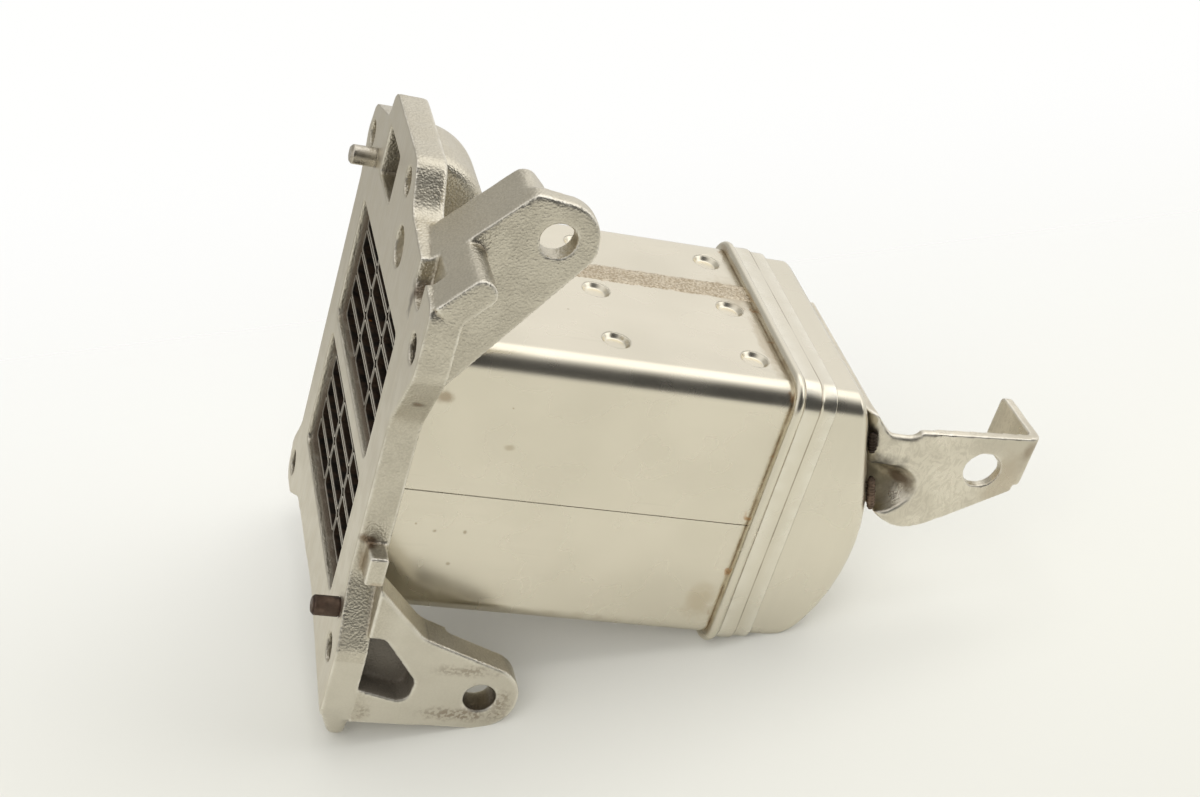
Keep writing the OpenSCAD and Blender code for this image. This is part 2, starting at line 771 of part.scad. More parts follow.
// Points of the skin from the open end over the round edge to the middle of the end face
function cap_skin(inset) =
    let (edge = cap_edge - inset, lid = cap_loop(edge, inset))
    concat(
        cap_ring(cap_loop(0, inset), 0, inset),
        [for (i = [0 : cap_rings])
            let (a = 90 * i / cap_rings, share = 1 - edge / (end_x - cap_x) * (1 - sin(a)))
            each cap_ring(cap_loop(edge * (1 - cos(a)), inset), share, inset)],
        [for (i = [1 : cap_lid - 1]) each cap_ring(shrunk(lid, 1 - i / cap_lid), 1, inset)],
        cap_ring([[0, nose_z]], 1, inset)
    );

// Faces of a skin whose points start at a given index
function skin_faces(start) =
    let (rings = cap_rings + cap_lid + 1, last = start + (rings - 1) * cap_count)
    [for (i = [0 : rings - 1], j = [0 : cap_count - 1])
        let (n = (j + 1) % cap_count, a = start + i * cap_count, b = a + cap_count)
        each i == rings - 1 ? [[last + j, last + cap_count, last + n]]
                            : [[a + j, b + j, b + n], [a + j, b + n, a + n]]];

function turned(faces) = [for (f = faces) [f[2], f[1], f[0]]];

module end_cap() {
    outer = cap_skin(0);
    shift = len(outer);
    lip = [for (j = [0 : cap_count - 1])
        let (n = (j + 1) % cap_count) each [[j, n, shift + n], [j, shift + n, shift + j]]];
    color([0.81, 0.79, 0.73]) polyhedron(
        points = concat(outer, cap_skin(cap_t)),
        faces = concat(skin_faces(0), turned(skin_faces(shift)), lip)
    );
}

// Frame on the leaning part of the end face: X out of it, Y to the far side, Z up along it
module on_end_face() {
    translate([lean_x, 0, 0]) rotate([0, -cap_lean, 0]) children();
}

// Point in X and Z at a distance behind the leaning end face
function behind_face(distance, z) = [lean_x + (distance - z * sin(cap_lean)) / cos(cap_lean), z];

// Side view of the whole bracket in X and Z
module bracket_outline() {
    polygon([
        behind_face(-merge, leg_top),
        behind_face(sheet_t, leg_top),
        behind_face(bend_out, plate_top),
        behind_face(2 * bend_out, plate_top),
        behind_face(2.4 * bend_out, plate_top + plate_step),
        [plate_end + merge, tab_top],
        [plate_end + merge, heel.y],
        heel,
        touch(heel, toe, toe_r, -1),
        toe,
        [toe.x, leg_low],
        behind_face(-merge, leg_low),
    ]);
    translate(toe) circle(toe_r);
}

// Leg and bend of the bracket, seen along the leaning end face
module bend_section() {
    translate([0, bend_at.y]) square([sheet_t, leg_far - bend_at.y]);
    translate(bend_at) intersection() {
        difference() {
            circle(bend_out);
            circle(bend_r);
        }
        translate([-bend_out, -bend_out]) square(bend_out);
    }
}

// Plate of the bracket between its two bends, in X and Z
module plate_region() {
    intersection() {
        translate([lean_x, 0]) rotate(cap_lean)
            translate([bend_out - merge, -core_h]) square([core_l, 2 * core_h]);
        translate([end_x - core_h, -core_h]) square([plate_l + core_h - sheet_t, 2 * core_h]);
    }
}

// Tab at the end of the plate, with its tight bend
module bracket_tab() {
    reach = plate_far + tab_l;
    intersection() {
        translate([plate_end - sheet_t, plate_far, 0]) linear_extrude(core_h) {
            intersection() {
                circle(sheet_t);
                translate([0, -sheet_t]) square([sheet_t, 2 * sheet_t]);
            }
            rotate(tab_lean) square([sheet_t, tab_l]);
        }
        along_x(plate_end - tab_l, plate_end + merge) polygon(rounded([
            [plate_near - merge, tab_top, 0],
            [plate_near - merge, heel.y, 0],
            [reach, heel.y, tab_l / 5],
            [reach, tab_top, tab_l / 10],
        ]));
    }
}

// Bar across the bend that presses the gusset inwards
module gusset_bar(r) {
    on_end_face() translate([0, plate_near, gusset_s]) rotate([0, 0, -45])
        translate([-2 * gusset_depth, gusset_depth - gusset_r, 0])
            rotate([0, 90, 0]) cylinder(r = r, h = 4 * gusset_depth);
}

module rear_bracket() {
    color([0.77, 0.75, 0.7]) difference() {
        union() {
            intersection() {
                union() {
                    on_end_face() translate([0, 0, -core_h]) linear_extrude(2 * core_h) bend_section();
                    along_y(plate_near, plate_far) plate_region();
                    intersection() {
                        gusset_bar(gusset_r + sheet_t);
                        on_end_face() translate([sheet_t - merge / 2, plate_far - merge / 2, 0])
                            cube(core_h / 2);
                    }
                }
                along_y(plate_near, leg_far + merge) bracket_outline();
            }
            bracket_tab();
        }
        gusset_bar(gusset_r);
        bar_y(plate_hole, plate_hole_d, plate_near - merge, plate_far + merge);
    }
}

// Bead in the groove between the cap's round edge and the bracket's bend
module groove_bead(from, l) {
    at = nestle(groove_at, groove_edge, bend_at, bend_out, weld_r + fit);
    on_end_face() translate([at.x, at.y, from]) {
        cylinder(r = weld_r, h = l);
        sphere(weld_r);
        translate([0, 0, l]) sphere(weld_r);
    }
}

module bracket_weld_lower() {
    color([0.4, 0.3, 0.22]) groove_bead(leg_low + 2 * weld_r, weld_l);
}

module bracket_weld_upper() {
    color([0.44, 0.33, 0.26]) groove_bead(plate_top - weld_l / 2, weld_l / 2);
}

// Fillet bead along the far end of the leg
module bracket_weld_far() {
    color([0.42, 0.32, 0.24]) on_end_face() translate([0, leg_far, (leg_low + leg_top - weld_l) / 2])
        linear_extrude(weld_l) intersection() {
            circle(sheet_t * 0.8);
            square(sheet_t);
        }
}

// Rough strip of braze along the shell's top
module braze_strip() {
    color([0.66, 0.6, 0.51])
        translate([flange_t + hood_r + merge, strip_y, top])
            cube([sheet_x - flange_t - hood_r - merge, strip_w, strip_t]);
}

flange();
dowel_pin_upper();
dowel_pin_lower();
front_header();
rear_header();
shell_upper();
shell_lower();
end_cap();
rear_bracket();
bracket_weld_lower();
bracket_weld_upper();
bracket_weld_far();
braze_strip();
for (t = TUBES) gas_tube(t);
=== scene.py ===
import json
import math
import bmesh
import bpy
from mathutils import Matrix, Vector, noise


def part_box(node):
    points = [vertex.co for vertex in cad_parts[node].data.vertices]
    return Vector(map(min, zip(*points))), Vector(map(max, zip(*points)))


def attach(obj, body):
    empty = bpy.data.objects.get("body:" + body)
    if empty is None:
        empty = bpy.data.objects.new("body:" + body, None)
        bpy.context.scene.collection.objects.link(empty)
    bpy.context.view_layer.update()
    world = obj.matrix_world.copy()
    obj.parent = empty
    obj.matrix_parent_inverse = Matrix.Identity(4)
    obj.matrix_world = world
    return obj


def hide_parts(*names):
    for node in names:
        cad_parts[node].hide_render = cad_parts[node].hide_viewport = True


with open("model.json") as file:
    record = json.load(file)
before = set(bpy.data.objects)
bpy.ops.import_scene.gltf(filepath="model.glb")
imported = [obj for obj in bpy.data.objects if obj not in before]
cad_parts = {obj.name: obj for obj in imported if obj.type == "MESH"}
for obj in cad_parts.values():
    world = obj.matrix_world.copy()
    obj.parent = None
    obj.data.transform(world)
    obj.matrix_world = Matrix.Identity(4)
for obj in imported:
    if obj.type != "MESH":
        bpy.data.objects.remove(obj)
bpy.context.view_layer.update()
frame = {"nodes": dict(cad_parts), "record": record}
mm = 0.001
print("frame loaded:", len(frame["nodes"]), "nodes")


# camera at the photograph's place
cameraSetup = {
    "eye": (-116.2, -504.2, 312.1),  # mm
    "right": (0.94190918, -0.20206869, 0.26828221),
    "down": (0.11934704, -0.54527876, -0.82971523),
    "forward": (0.31394806, 0.81353508, -0.48948677),
    "lens": 59.72,
    "sensor": 36.0,
    "nearest": 0.01,  # m
}


def addCamera(setup):
    data = bpy.data.cameras.new("photoCamera")
    data.sensor_fit = "HORIZONTAL"
    data.sensor_width = setup["sensor"]
    data.lens = setup["lens"]
    data.clip_start = setup["nearest"]
    camera = bpy.data.objects.new("photoCamera", data)
    right, up, back = Vector(setup["right"]), -Vector(setup["down"]), -Vector(setup["forward"])
    turn = Matrix((right, up, back)).transposed().to_4x4()
    camera.matrix_world = Matrix.Translation(Vector(setup["eye"]) * mm) @ turn
    bpy.context.scene.collection.objects.link(camera)
    bpy.context.scene.camera = camera


addCamera(cameraSetup)
bpy.context.scene.view_settings.view_transform = "Standard"
print("camera set")


# small helpers for node trees
mixSockets = {"mask": 0, "below": 6, "above": 7, "result": 2}  # colour sockets of the Mix node


def addNode(tree, kind, values=None, **settings):
    node = tree.nodes.new(kind)
    for key, value in settings.items():
        setattr(node, key, value)
    for key, value in (values or {}).items():
        node.inputs[key].default_value = value
    return node


def join(tree, source, target):
    tree.links.new(source, target)


def feed(tree, value, socket):
    if isinstance(value, (int, float)):
        socket.default_value = value
    elif isinstance(value, tuple):
        socket.default_value = (*value, 1.0)
    else:
        join(tree, value, socket)


def newGroup(name, inputs, outputs):
    tree = bpy.data.node_groups.new(name, "ShaderNodeTree")
    for label, kind, value in inputs:
        socket = tree.interface.new_socket(label, in_out="INPUT", socket_type=kind)
        socket.default_value = value
    for label, kind in outputs:
        tree.interface.new_socket(label, in_out="OUTPUT", socket_type=kind)
    return tree, tree.nodes.new("NodeGroupInput"), tree.nodes.new("NodeGroupOutput")


def useGroup(tree, group, **values):
    node = tree.nodes.new("ShaderNodeGroup")
    node.node_tree = group
    for key, value in values.items():
        node.inputs[key].default_value = value
    return node


def ramp(tree, source, low, high, outLow=0.0, outHigh=1.0):
    node = addNode(
        tree, "ShaderNodeMapRange",
        {"From Min": low, "From Max": high, "To Min": outLow, "To Max": outHigh}, interpolation_type="SMOOTHSTEP",
    )
    join(tree, source, node.inputs["Value"])
    return node.outputs["Result"]


def maths(tree, operation, a, b):
    node = addNode(tree, "ShaderNodeMath", operation=operation)
    feed(tree, a, node.inputs[0])
    feed(tree, b, node.inputs[1])
    return node.outputs[0]


def blendColour(tree, mask, below, above):
    node = addNode(tree, "ShaderNodeMix", data_type="RGBA")
    feed(tree, mask, node.inputs[mixSockets["mask"]])
    feed(tree, below, node.inputs[mixSockets["below"]])
    feed(tree, above, node.inputs[mixSockets["above"]])
    return node.outputs[mixSockets["result"]]


# shared effects
grainForm = {"detail": 2.0, "roughness": 0.5, "smoothness": 0.5, "domeTop": 0.9, "fine": 0.5, "domes": 0.6}
raggedForm = {"scale": 260.0, "detail": 4.0, "middle": 0.5}
gapForm = {"scale": 190.0, "detail": 3.0, "least": 0.35}


def makeGrainGroup(form):
    tree, given, out = newGroup(
        "castGrain", [("Scale", "NodeSocketFloat", 900.0)], [("Height", "NodeSocketFloat")],
    )
    place = addNode(tree, "ShaderNodeTexCoord")
    fine = addNode(tree, "ShaderNodeTexNoise", {"Detail": form["detail"], "Roughness": form["roughness"]})
    lumps = addNode(tree, "ShaderNodeTexVoronoi", {"Smoothness": form["smoothness"]}, feature="SMOOTH_F1")
    for texture in (fine, lumps):
        join(tree, place.outputs["Object"], texture.inputs["Vector"])
        join(tree, given.outputs["Scale"], texture.inputs["Scale"])
    domes = maths(tree, "SUBTRACT", form["domeTop"], lumps.outputs["Distance"])
    fineShare = maths(tree, "MULTIPLY", fine.outputs["Fac"], form["fine"])
    domeShare = maths(tree, "MULTIPLY", domes, form["domes"])
    join(tree, maths(tree, "ADD", fineShare, domeShare), out.inputs["Height"])
    return tree


def makePatchGroup():
    tree, given, out = newGroup(
        "patchMask",
        [("Scale", "NodeSocketFloat", 40.0), ("Low", "NodeSocketFloat", 0.5), ("High", "NodeSocketFloat", 0.7)],
        [("Mask", "NodeSocketFloat")],
    )
    place = addNode(tree, "ShaderNodeTexCoord")
    cloud = addNode(tree, "ShaderNodeTexNoise", {"Detail": 2.0, "Roughness": 0.5})
    step = addNode(tree, "ShaderNodeMapRange", interpolation_type="SMOOTHSTEP")
    join(tree, place.outputs["Object"], cloud.inputs["Vector"])
    join(tree, given.outputs["Scale"], cloud.inputs["Scale"])
    join(tree, cloud.outputs["Fac"], step.inputs["Value"])
    join(tree, given.outputs["Low"], step.inputs["From Min"])
    join(tree, given.outputs["High"], step.inputs["From Max"])
    join(tree, step.outputs["Result"], out.inputs["Mask"])
    return tree


# soft or ragged ellipsoid
def makePlaceGroup(form):
    tree, given, out = newGroup(
        "placeMask",
        [
            ("Center", "NodeSocketVector", (0, 0, 0)),
            ("Radii", "NodeSocketVector", (1, 1, 1)),
            ("Soft", "NodeSocketFloat", 0.3),
            ("Ragged", "NodeSocketFloat", 0.0),
        ],
        [("Mask", "NodeSocketFloat")],
    )
    place = addNode(tree, "ShaderNodeTexCoord")
    away = addNode(tree, "ShaderNodeVectorMath", operation="SUBTRACT")
    share = addNode(tree, "ShaderNodeVectorMath", operation="DIVIDE")
    length = addNode(tree, "ShaderNodeVectorMath", operation="LENGTH")
    rough = addNode(tree, "ShaderNodeTexNoise", {"Scale": form["scale"], "Detail": form["detail"]})
    join(tree, place.outputs["Object"], away.inputs[0])
    join(tree, given.outputs["Center"], away.inputs[1])
    join(tree, away.outputs[0], share.inputs[0])
    join(tree, given.outputs["Radii"], share.inputs[1])
    join(tree, share.outputs[0], length.inputs[0])
    join(tree, place.outputs["Object"], rough.inputs["Vector"])
    spread = maths(tree, "SUBTRACT", rough.outputs["Fac"], form["middle"])
    wave = maths(tree, "MULTIPLY", spread, given.outputs["Ragged"])
    reach = maths(tree, "ADD", length.outputs["Value"], wave)
    inner = maths(tree, "SUBTRACT", 1.0, given.outputs["Soft"])
    inside = ramp(tree, reach, 0.0, 1.0, 1.0, 0.0)
    join(tree, inner, inside.node.inputs["From Min"])
    join(tree, inside, out.inputs["Mask"])
    return tree


def makeLinesGroup():
    tree, given, out = newGroup(
        "fineLines",
        [
            ("Stretch", "NodeSocketVector", (1, 1, 1)),
            ("Scale", "NodeSocketFloat", 600.0),
            ("Swirl", "NodeSocketFloat", 0.0),
        ],
        [("Height", "NodeSocketFloat")],
    )
    place = addNode(tree, "ShaderNodeTexCoord")
    pull = addNode(tree, "ShaderNodeVectorMath", operation="MULTIPLY")
    line = addNode(tree, "ShaderNodeTexNoise", {"Detail": 4.0, "Roughness": 0.65})
    join(tree, place.outputs["Object"], pull.inputs[0])
    join(tree, given.outputs["Stretch"], pull.inputs[1])
    join(tree, pull.outputs[0], line.inputs["Vector"])
    join(tree, given.outputs["Scale"], line.inputs["Scale"])
    join(tree, given.outputs["Swirl"], line.inputs["Distortion"])
    join(tree, line.outputs["Fac"], out.inputs["Height"])
    return tree


# reads an attribute of the same name, broken up by gaps
def makeEdgeGroup(name, gapStep, form):
    tree, given, out = newGroup(name, [("Amount", "NodeSocketFloat", 1.0)], [("Mask", "NodeSocketFloat")])
    edge = addNode(tree, "ShaderNodeAttribute", attribute_name=name)
    place = addNode(tree, "ShaderNodeTexCoord")
    gaps = addNode(tree, "ShaderNodeTexNoise", {"Scale": form["scale"], "Detail": form["detail"]})
    join(tree, place.outputs["Object"], gaps.inputs["Vector"])
    kept = ramp(tree, gaps.outputs["Fac"], *gapStep, form["least"], 1.0)
    broken = maths(tree, "MULTIPLY", edge.outputs["Fac"], kept)
    join(tree, maths(tree, "MULTIPLY", broken, given.outputs["Amount"]), out.inputs["Mask"])
    return tree


def makeSpeckGroup():
    tree, given, out = newGroup(
        "speckMask",
        [("Scale", "NodeSocketFloat", 120.0), ("Size", "NodeSocketFloat", 0.1), ("Share", "NodeSocketFloat", 0.2)],
        [("Mask", "NodeSocketFloat")],
    )
    place = addNode(tree, "ShaderNodeTexCoord")
    cells = addNode(tree, "ShaderNodeTexVoronoi")
    parts = addNode(tree, "ShaderNodeSeparateColor")
    join(tree, place.outputs["Object"], cells.inputs["Vector"])
    join(tree, given.outputs["Scale"], cells.inputs["Scale"])
    join(tree, cells.outputs["Color"], parts.inputs[0])
    near = maths(tree, "LESS_THAN", cells.outputs["Distance"], given.outputs["Size"])
    picked = maths(tree, "LESS_THAN", parts.outputs[0], given.outputs["Share"])
    join(tree, maths(tree, "MULTIPLY", near, picked), out.inputs["Mask"])
    return tree


castGrain = makeGrainGroup(grainForm)
patchMask = makePatchGroup()
placeMask = makePlaceGroup(raggedForm)
fineLines = makeLinesGroup()
edgeWear = makeEdgeGroup("edgeWear", (0.3, 0.62), gapForm)
hollowDirtAndShade = makeEdgeGroup("hollowDirtAndShade", (0.25, 0.6), gapForm)
speckMask = makeSpeckGroup()
print("shared effects built")


def startMaterial(name, metallic=1.0):
    material = bpy.data.materials.new(name)
    material.use_nodes = True
    tree = material.node_tree
    tree.nodes.clear()
    shader = addNode(tree, "ShaderNodeBsdfPrincipled", {"Metallic": metallic})
    out = addNode(tree, "ShaderNodeOutputMaterial")
    join(tree, shader.outputs[0], out.inputs["Surface"])
    return material, tree, shader


def patch(tree, scale, low, high):
    return useGroup(tree, patchMask, Scale=scale, Low=low, High=high).outputs["Mask"]


def spot(tree, center, radii, soft, ragged):
    place = [c * mm for c in center]
    size = [r * mm for r in radii]
    return useGroup(tree, placeMask, Center=place, Radii=size, Soft=soft, Ragged=ragged).outputs["Mask"]


def grain(tree, scale):
    return useGroup(tree, castGrain, Scale=scale).outputs["Height"]


def lines(tree, stretch, scale, swirl=0.0):
    return useGroup(tree, fineLines, Stretch=stretch, Scale=scale, Swirl=swirl).outputs["Height"]


def worn(tree, amount):
    return useGroup(tree, edgeWear, Amount=amount).outputs["Mask"]


def hollows(tree, amount):
    return useGroup(tree, hollowDirtAndShade, Amount=amount).outputs["Mask"]


def specks(tree, scale, size, share):
    return useGroup(tree, speckMask, Scale=scale, Size=size, Share=share).outputs["Mask"]


def both(tree, *masks):
    total = masks[0]
    for mask in masks[1:]:
        total = maths(tree, "MULTIPLY", total, mask)
    return total


# one side of a plane across an axis, or within a distance of the middle
def axisMask(tree, axis, low, high, side):
    place = addNode(tree, "ShaderNodeTexCoord")
    parts = addNode(tree, "ShaderNodeSeparateXYZ")
    join(tree, place.outputs["Object"], parts.inputs[0])
    value = parts.outputs[axis]
    if side == "within":
        value = maths(tree, "ABSOLUTE", value, 0.0)
    ends = (0.0, 1.0) if side == "above" else (1.0, 0.0)
    return ramp(tree, value, low * mm, high * mm, *ends)


def zone(tree, limits):
    return both(tree, *[axisMask(tree, *limit) for limit in limits])


def tint(tree, colour, mask, above, amount=1.0):
    return blendColour(tree, maths(tree, "MULTIPLY", mask, amount), colour, above)


def stained(tree, colour, rows, soft, ragged, flecks=None):
    for center, radii, stain, amount in rows:
        mask = spot(tree, center, radii, soft, ragged)
        if flecks is not None:
            mask = both(tree, mask, flecks)
        colour = tint(tree, colour, mask, stain, amount)
    return colour


def roughen(tree, shader, cloud, ends):
    join(tree, ramp(tree, patch(tree, *cloud), 0.0, 1.0, *ends), shader.inputs["Roughness"])


def bump(tree, shader, height, strength, depth):
    node = addNode(tree, "ShaderNodeBump", {"Strength": strength, "Distance": depth * mm})
    join(tree, height, node.inputs["Height"])
    join(tree, node.outputs["Normal"], shader.inputs["Normal"])


# cast flange: milled sealing face, grained cast sides
# a cloud is a patch's scale, low and high; an edge is a stain's softness and raggedness
castLook = {
    "cast": (0.65, 0.605, 0.505),
    "pit": (0.50, 0.46, 0.375),
    "pitStep": (0.62, 0.38),  # height of the grain
    "pitAmount": 0.4,
    "cloud": (40.0, 0.45, 0.75),
    "cloudAmount": 0.22,
    "smooth": (0.67, 0.63, 0.535),
    "smoothAmount": 0.75,
    "footZone": [("Z", -50.8, -50.2, "below"), ("Y", -60.0, -58.0, "below"), ("X", 9.2, 9.8, "below")],  # mm
    "lugZone": [("X", 9.5, 16.0, "above"), ("Z", -34.0, -26.0, "below"), ("Y", -64.5, -64.2, "below")],
    "edge": (0.92, 0.88, 0.79),
    "edgeAmount": 0.9,
    # dark brown in the concave hollows: dirt and painted shade
    "hollow": (0.24, 0.19, 0.135),
    "hollowAmount": 0.75,
    "face": ("X", 0.08, 0.3, "below"),
    "milled": (0.78, 0.73, 0.62),
    "milledDark": (0.62, 0.575, 0.48),
    "milling": ((0.02, 1.0, 0.06), 700.0),  # stretch and scale of the lines
    "windowZone": [("Y", 41.3, 41.7, "within"), ("Z", 45.3, 45.7, "within"), ("X", 0.5, 2.5, "above")],
    "soot": (0.115, 0.082, 0.054),
    "sootCloud": (120.0, 0.15, 0.5),
    "sootAmount": 0.88,
    "holes": [  # centre and radii in mm, colour, amount
        ((4.75, -61.2, 53.5), (20.0, 4.5, 4.5), (0.17, 0.14, 0.105), 0.85),
        ((4.75, 53.2, -63.4), (20.0, 4.5, 4.5), (0.17, 0.14, 0.105), 0.85),
        ((46.3, -62.0, -60.8), (5.2, 20.0, 5.2), (0.17, 0.14, 0.105), 0.85),
    ],
    "holeEdge": (0.06, 0.0),
    "marks": [
        ((5.2, -62.7, 37.3), (3.0, 3.0, 2.0), (0.20, 0.14, 0.085), 0.75),
        ((3.0, -58.5, -12.2), (4.2, 4.0, 2.2), (0.17, 0.10, 0.05), 0.8),
        ((2.5, -60.0, -19.0), (2.0, 6.0, 6.0), (0.27, 0.18, 0.09), 0.5),
        ((6.0, -63.0, -23.0), (4.5, 4.0, 2.4), (0.36, 0.25, 0.13), 0.5),
        ((2.5, -47.5, 61.0), (4.2, 4.5, 9.0), (0.13, 0.09, 0.06), 0.85),
    ],
    "markEdge": (0.7, 1.2),
    "flecked": [
        ((40.0, -64.8, -67.6), (17.0, 2.5, 3.6), (0.20, 0.135, 0.085), 0.62),
        ((52.8, -64.8, -62.0), (4.6, 2.5, 7.6), (0.22, 0.155, 0.10), 0.6),
        ((40.0, -64.8, -50.8), (13.0, 2.5, 3.0), (0.22, 0.16, 0.11), 0.52),
        ((12.0, -64.8, -69.0), (4.0, 2.5, 5.0), (0.26, 0.20, 0.14), 0.5),
    ],
    "fleckEdge": (0.9, 1.3),
    "fleckCloud": (800.0, 0.4, 0.56),
    "fleckLeast": 0.25,
    # inside of the lug's pocket painted near black: soot and painted shade
    "pocket": (0.085, 0.07, 0.053),
    "pocketZone": [
        ("X", 9.0, 9.4, "above"), ("X", 26.0, 27.0, "below"),
        ("Y", -64.7, -64.2, "above"), ("Y", -56.0, -55.4, "below"),
        ("Z", -67.0, -65.0, "above"), ("Z", -41.5, -40.5, "below"),
    ],
    "pocketAmount": 0.85,
    "sootAndShadeMetallic": 0.25,
    "roughCloud": (130.0, 0.3, 0.7),
    "roughness": (0.33, 0.45),
    "grainScale": 1450.0,
    "grainDepth": 0.21,  # mm
    "faceGrain": 0.05,
    "smoothGrain": 0.3,
}


def makeCastSteel(look):
    material, tree, shader = startMaterial("castSteel")
    texture = grain(tree, look["grainScale"])
    colour = tint(tree, look["cast"], ramp(tree, texture, *look["pitStep"]), look["pit"], look["pitAmount"])
    colour = tint(tree, colour, patch(tree, *look["cloud"]), look["pit"], look["cloudAmount"])
    even = maths(tree, "MAXIMUM", zone(tree, look["footZone"]), zone(tree, look["lugZone"]))
    colour = tint(tree, colour, even, look["smooth"], look["smoothAmount"])
    colour = tint(tree, colour, worn(tree, look["edgeAmount"]), look["edge"])
    # hollows darkened: dirt and painted shade
    colour = tint(tree, colour, hollows(tree, look["hollowAmount"]), look["hollow"])
    face = axisMask(tree, *look["face"])
    milled = blendColour(tree, lines(tree, *look["milling"]), look["milled"], look["milledDark"])
    colour = blendColour(tree, face, colour, milled)
    sooty = both(tree, zone(tree, look["windowZone"]), patch(tree, *look["sootCloud"]))
    colour = tint(tree, colour, sooty, look["soot"], look["sootAmount"])
    colour = stained(tree, colour, look["holes"], *look["holeEdge"])
    colour = stained(tree, colour, look["marks"], *look["markEdge"])
    flecks = maths(tree, "MAXIMUM", patch(tree, *look["fleckCloud"]), look["fleckLeast"])
    colour = stained(tree, colour, look["flecked"], *look["fleckEdge"], flecks)
    # pocket painted near black: soot and painted shade
    inPocket = zone(tree, look["pocketZone"])
    colour = tint(tree, colour, inPocket, look["pocket"], look["pocketAmount"])
    sootAndPocketShade = maths(tree, "MAXIMUM", sooty, inPocket)
    join(tree, ramp(tree, sootAndPocketShade, 0.0, 1.0, 1.0, look["sootAndShadeMetallic"]), shader.inputs["Metallic"])
    roughen(tree, shader, look["roughCloud"], look["roughness"])
    join(tree, colour, shader.inputs["Base Color"])
    faceGrain = ramp(tree, face, 0.0, 1.0, 1.0, look["faceGrain"])
    smoothGrain = ramp(tree, even, 0.0, 1.0, 1.0, look["smoothGrain"])
    bump(tree, shader, both(tree, texture, both(tree, faceGrain, smoothGrain)), 1.0, look["grainDepth"])
    return material


# satin sheet of the shell
shellLook = {
    "sheet": (0.80, 0.745, 0.625),
    "shade": (0.72, 0.67, 0.555),
    "cloud": (24.0, 0.35, 0.7),
    "brush": ((0.03, 1.0, 1.0), 420.0),
    "brushAmount": 0.55,
    "foot": (0.24, 0.165, 0.09),
    "footBand": ((118.7, 0, 0), (0.95, 400, 400), 0.8, 0.9),  # along the rim's bead
    "footCloud": (120.0, 0.2, 0.55),
    "footAmount": 0.85,
    "rust": (0.42, 0.22, 0.08),
    "rustBand": ((118.0, 0, 0), (2.2, 400, 400), 0.8, 1.0),
    "rustCloud": (200.0, 0.6, 0.7),
    "rustAmount": 0.7,
    "residue": (0.40, 0.31, 0.20),
    "specks": (110.0, 0.045, 0.3),
    "speckAmount": 0.55,
    "scratch": ((0.04, 0.6, 1.0), 500.0),
    "scratchStep": (0.64, 0.72),
    "scratchAmount": 0.7,
    "stainsAndShade": [
        ((16.8, -45.5, 30.3), (3.4, 2.0, 2.8), (0.33, 0.25, 0.16), 0.7),
        ((24.6, -45.5, -15.4), (1.1, 2.0, 1.0), (0.30, 0.22, 0.13), 0.6),
        ((33.5, -45.5, -14.7), (0.9, 2.0, 1.1), (0.30, 0.22, 0.13), 0.6),
        ((31.2, -45.5, -26.7), (1.0, 2.0, 0.9), (0.30, 0.22, 0.13), 0.5),
        ((39.3, -45.5, 16.0), (2.2, 2.0, 1.4), (0.42, 0.34, 0.22), 0.5),
        ((112.6, -45.5, -31.0), (7.0, 3.0, 9.0), (0.55, 0.46, 0.32), 0.55),
        ((113.0, 10.0, 46.5), (9.0, 12.0, 2.0), (0.42, 0.33, 0.21), 0.55),
        ((116.0, -20.0, 46.5), (3.0, 26.0, 3.0), (0.45, 0.36, 0.24), 0.5),
        # painted shade: a darker band along the whole lower corner of the near side
        ((60.0, -46.0, -44.0), (60.0, 4.0, 4.0), (0.45, 0.38, 0.27), 0.4),
    ],
    "stainAndShadeEdge": (0.8, 1.2),
    "roughCloud": (60.0, 0.3, 0.7),
    "roughness": (0.24, 0.29),
    "brushStrength": 0.06,
    "brushDepth": 0.2,
}


def makeShellSheet(look):
    material, tree, shader = startMaterial("shellSheet")
    colour = blendColour(tree, patch(tree, *look["cloud"]), look["sheet"], look["shade"])
    brushed = lines(tree, *look["brush"])
    colour = tint(tree, colour, brushed, look["shade"], look["brushAmount"])
    foot = both(tree, spot(tree, *look["footBand"]), patch(tree, *look["footCloud"]))
    colour = tint(tree, colour, foot, look["foot"], look["footAmount"])
    rust = both(tree, spot(tree, *look["rustBand"]), patch(tree, *look["rustCloud"]))
    colour = tint(tree, colour, rust, look["rust"], look["rustAmount"])
    colour = tint(tree, colour, specks(tree, *look["specks"]), look["residue"], look["speckAmount"])
    scratch = ramp(tree, lines(tree, *look["scratch"]), *look["scratchStep"])
    colour = tint(tree, colour, scratch, look["shade"], look["scratchAmount"])
    colour = stained(tree, colour, look["stainsAndShade"], *look["stainAndShadeEdge"])
    join(tree, colour, shader.inputs["Base Color"])
    roughen(tree, shader, look["roughCloud"], look["roughness"])
    bump(tree, shader, brushed, look["brushStrength"], look["brushDepth"])
    return material


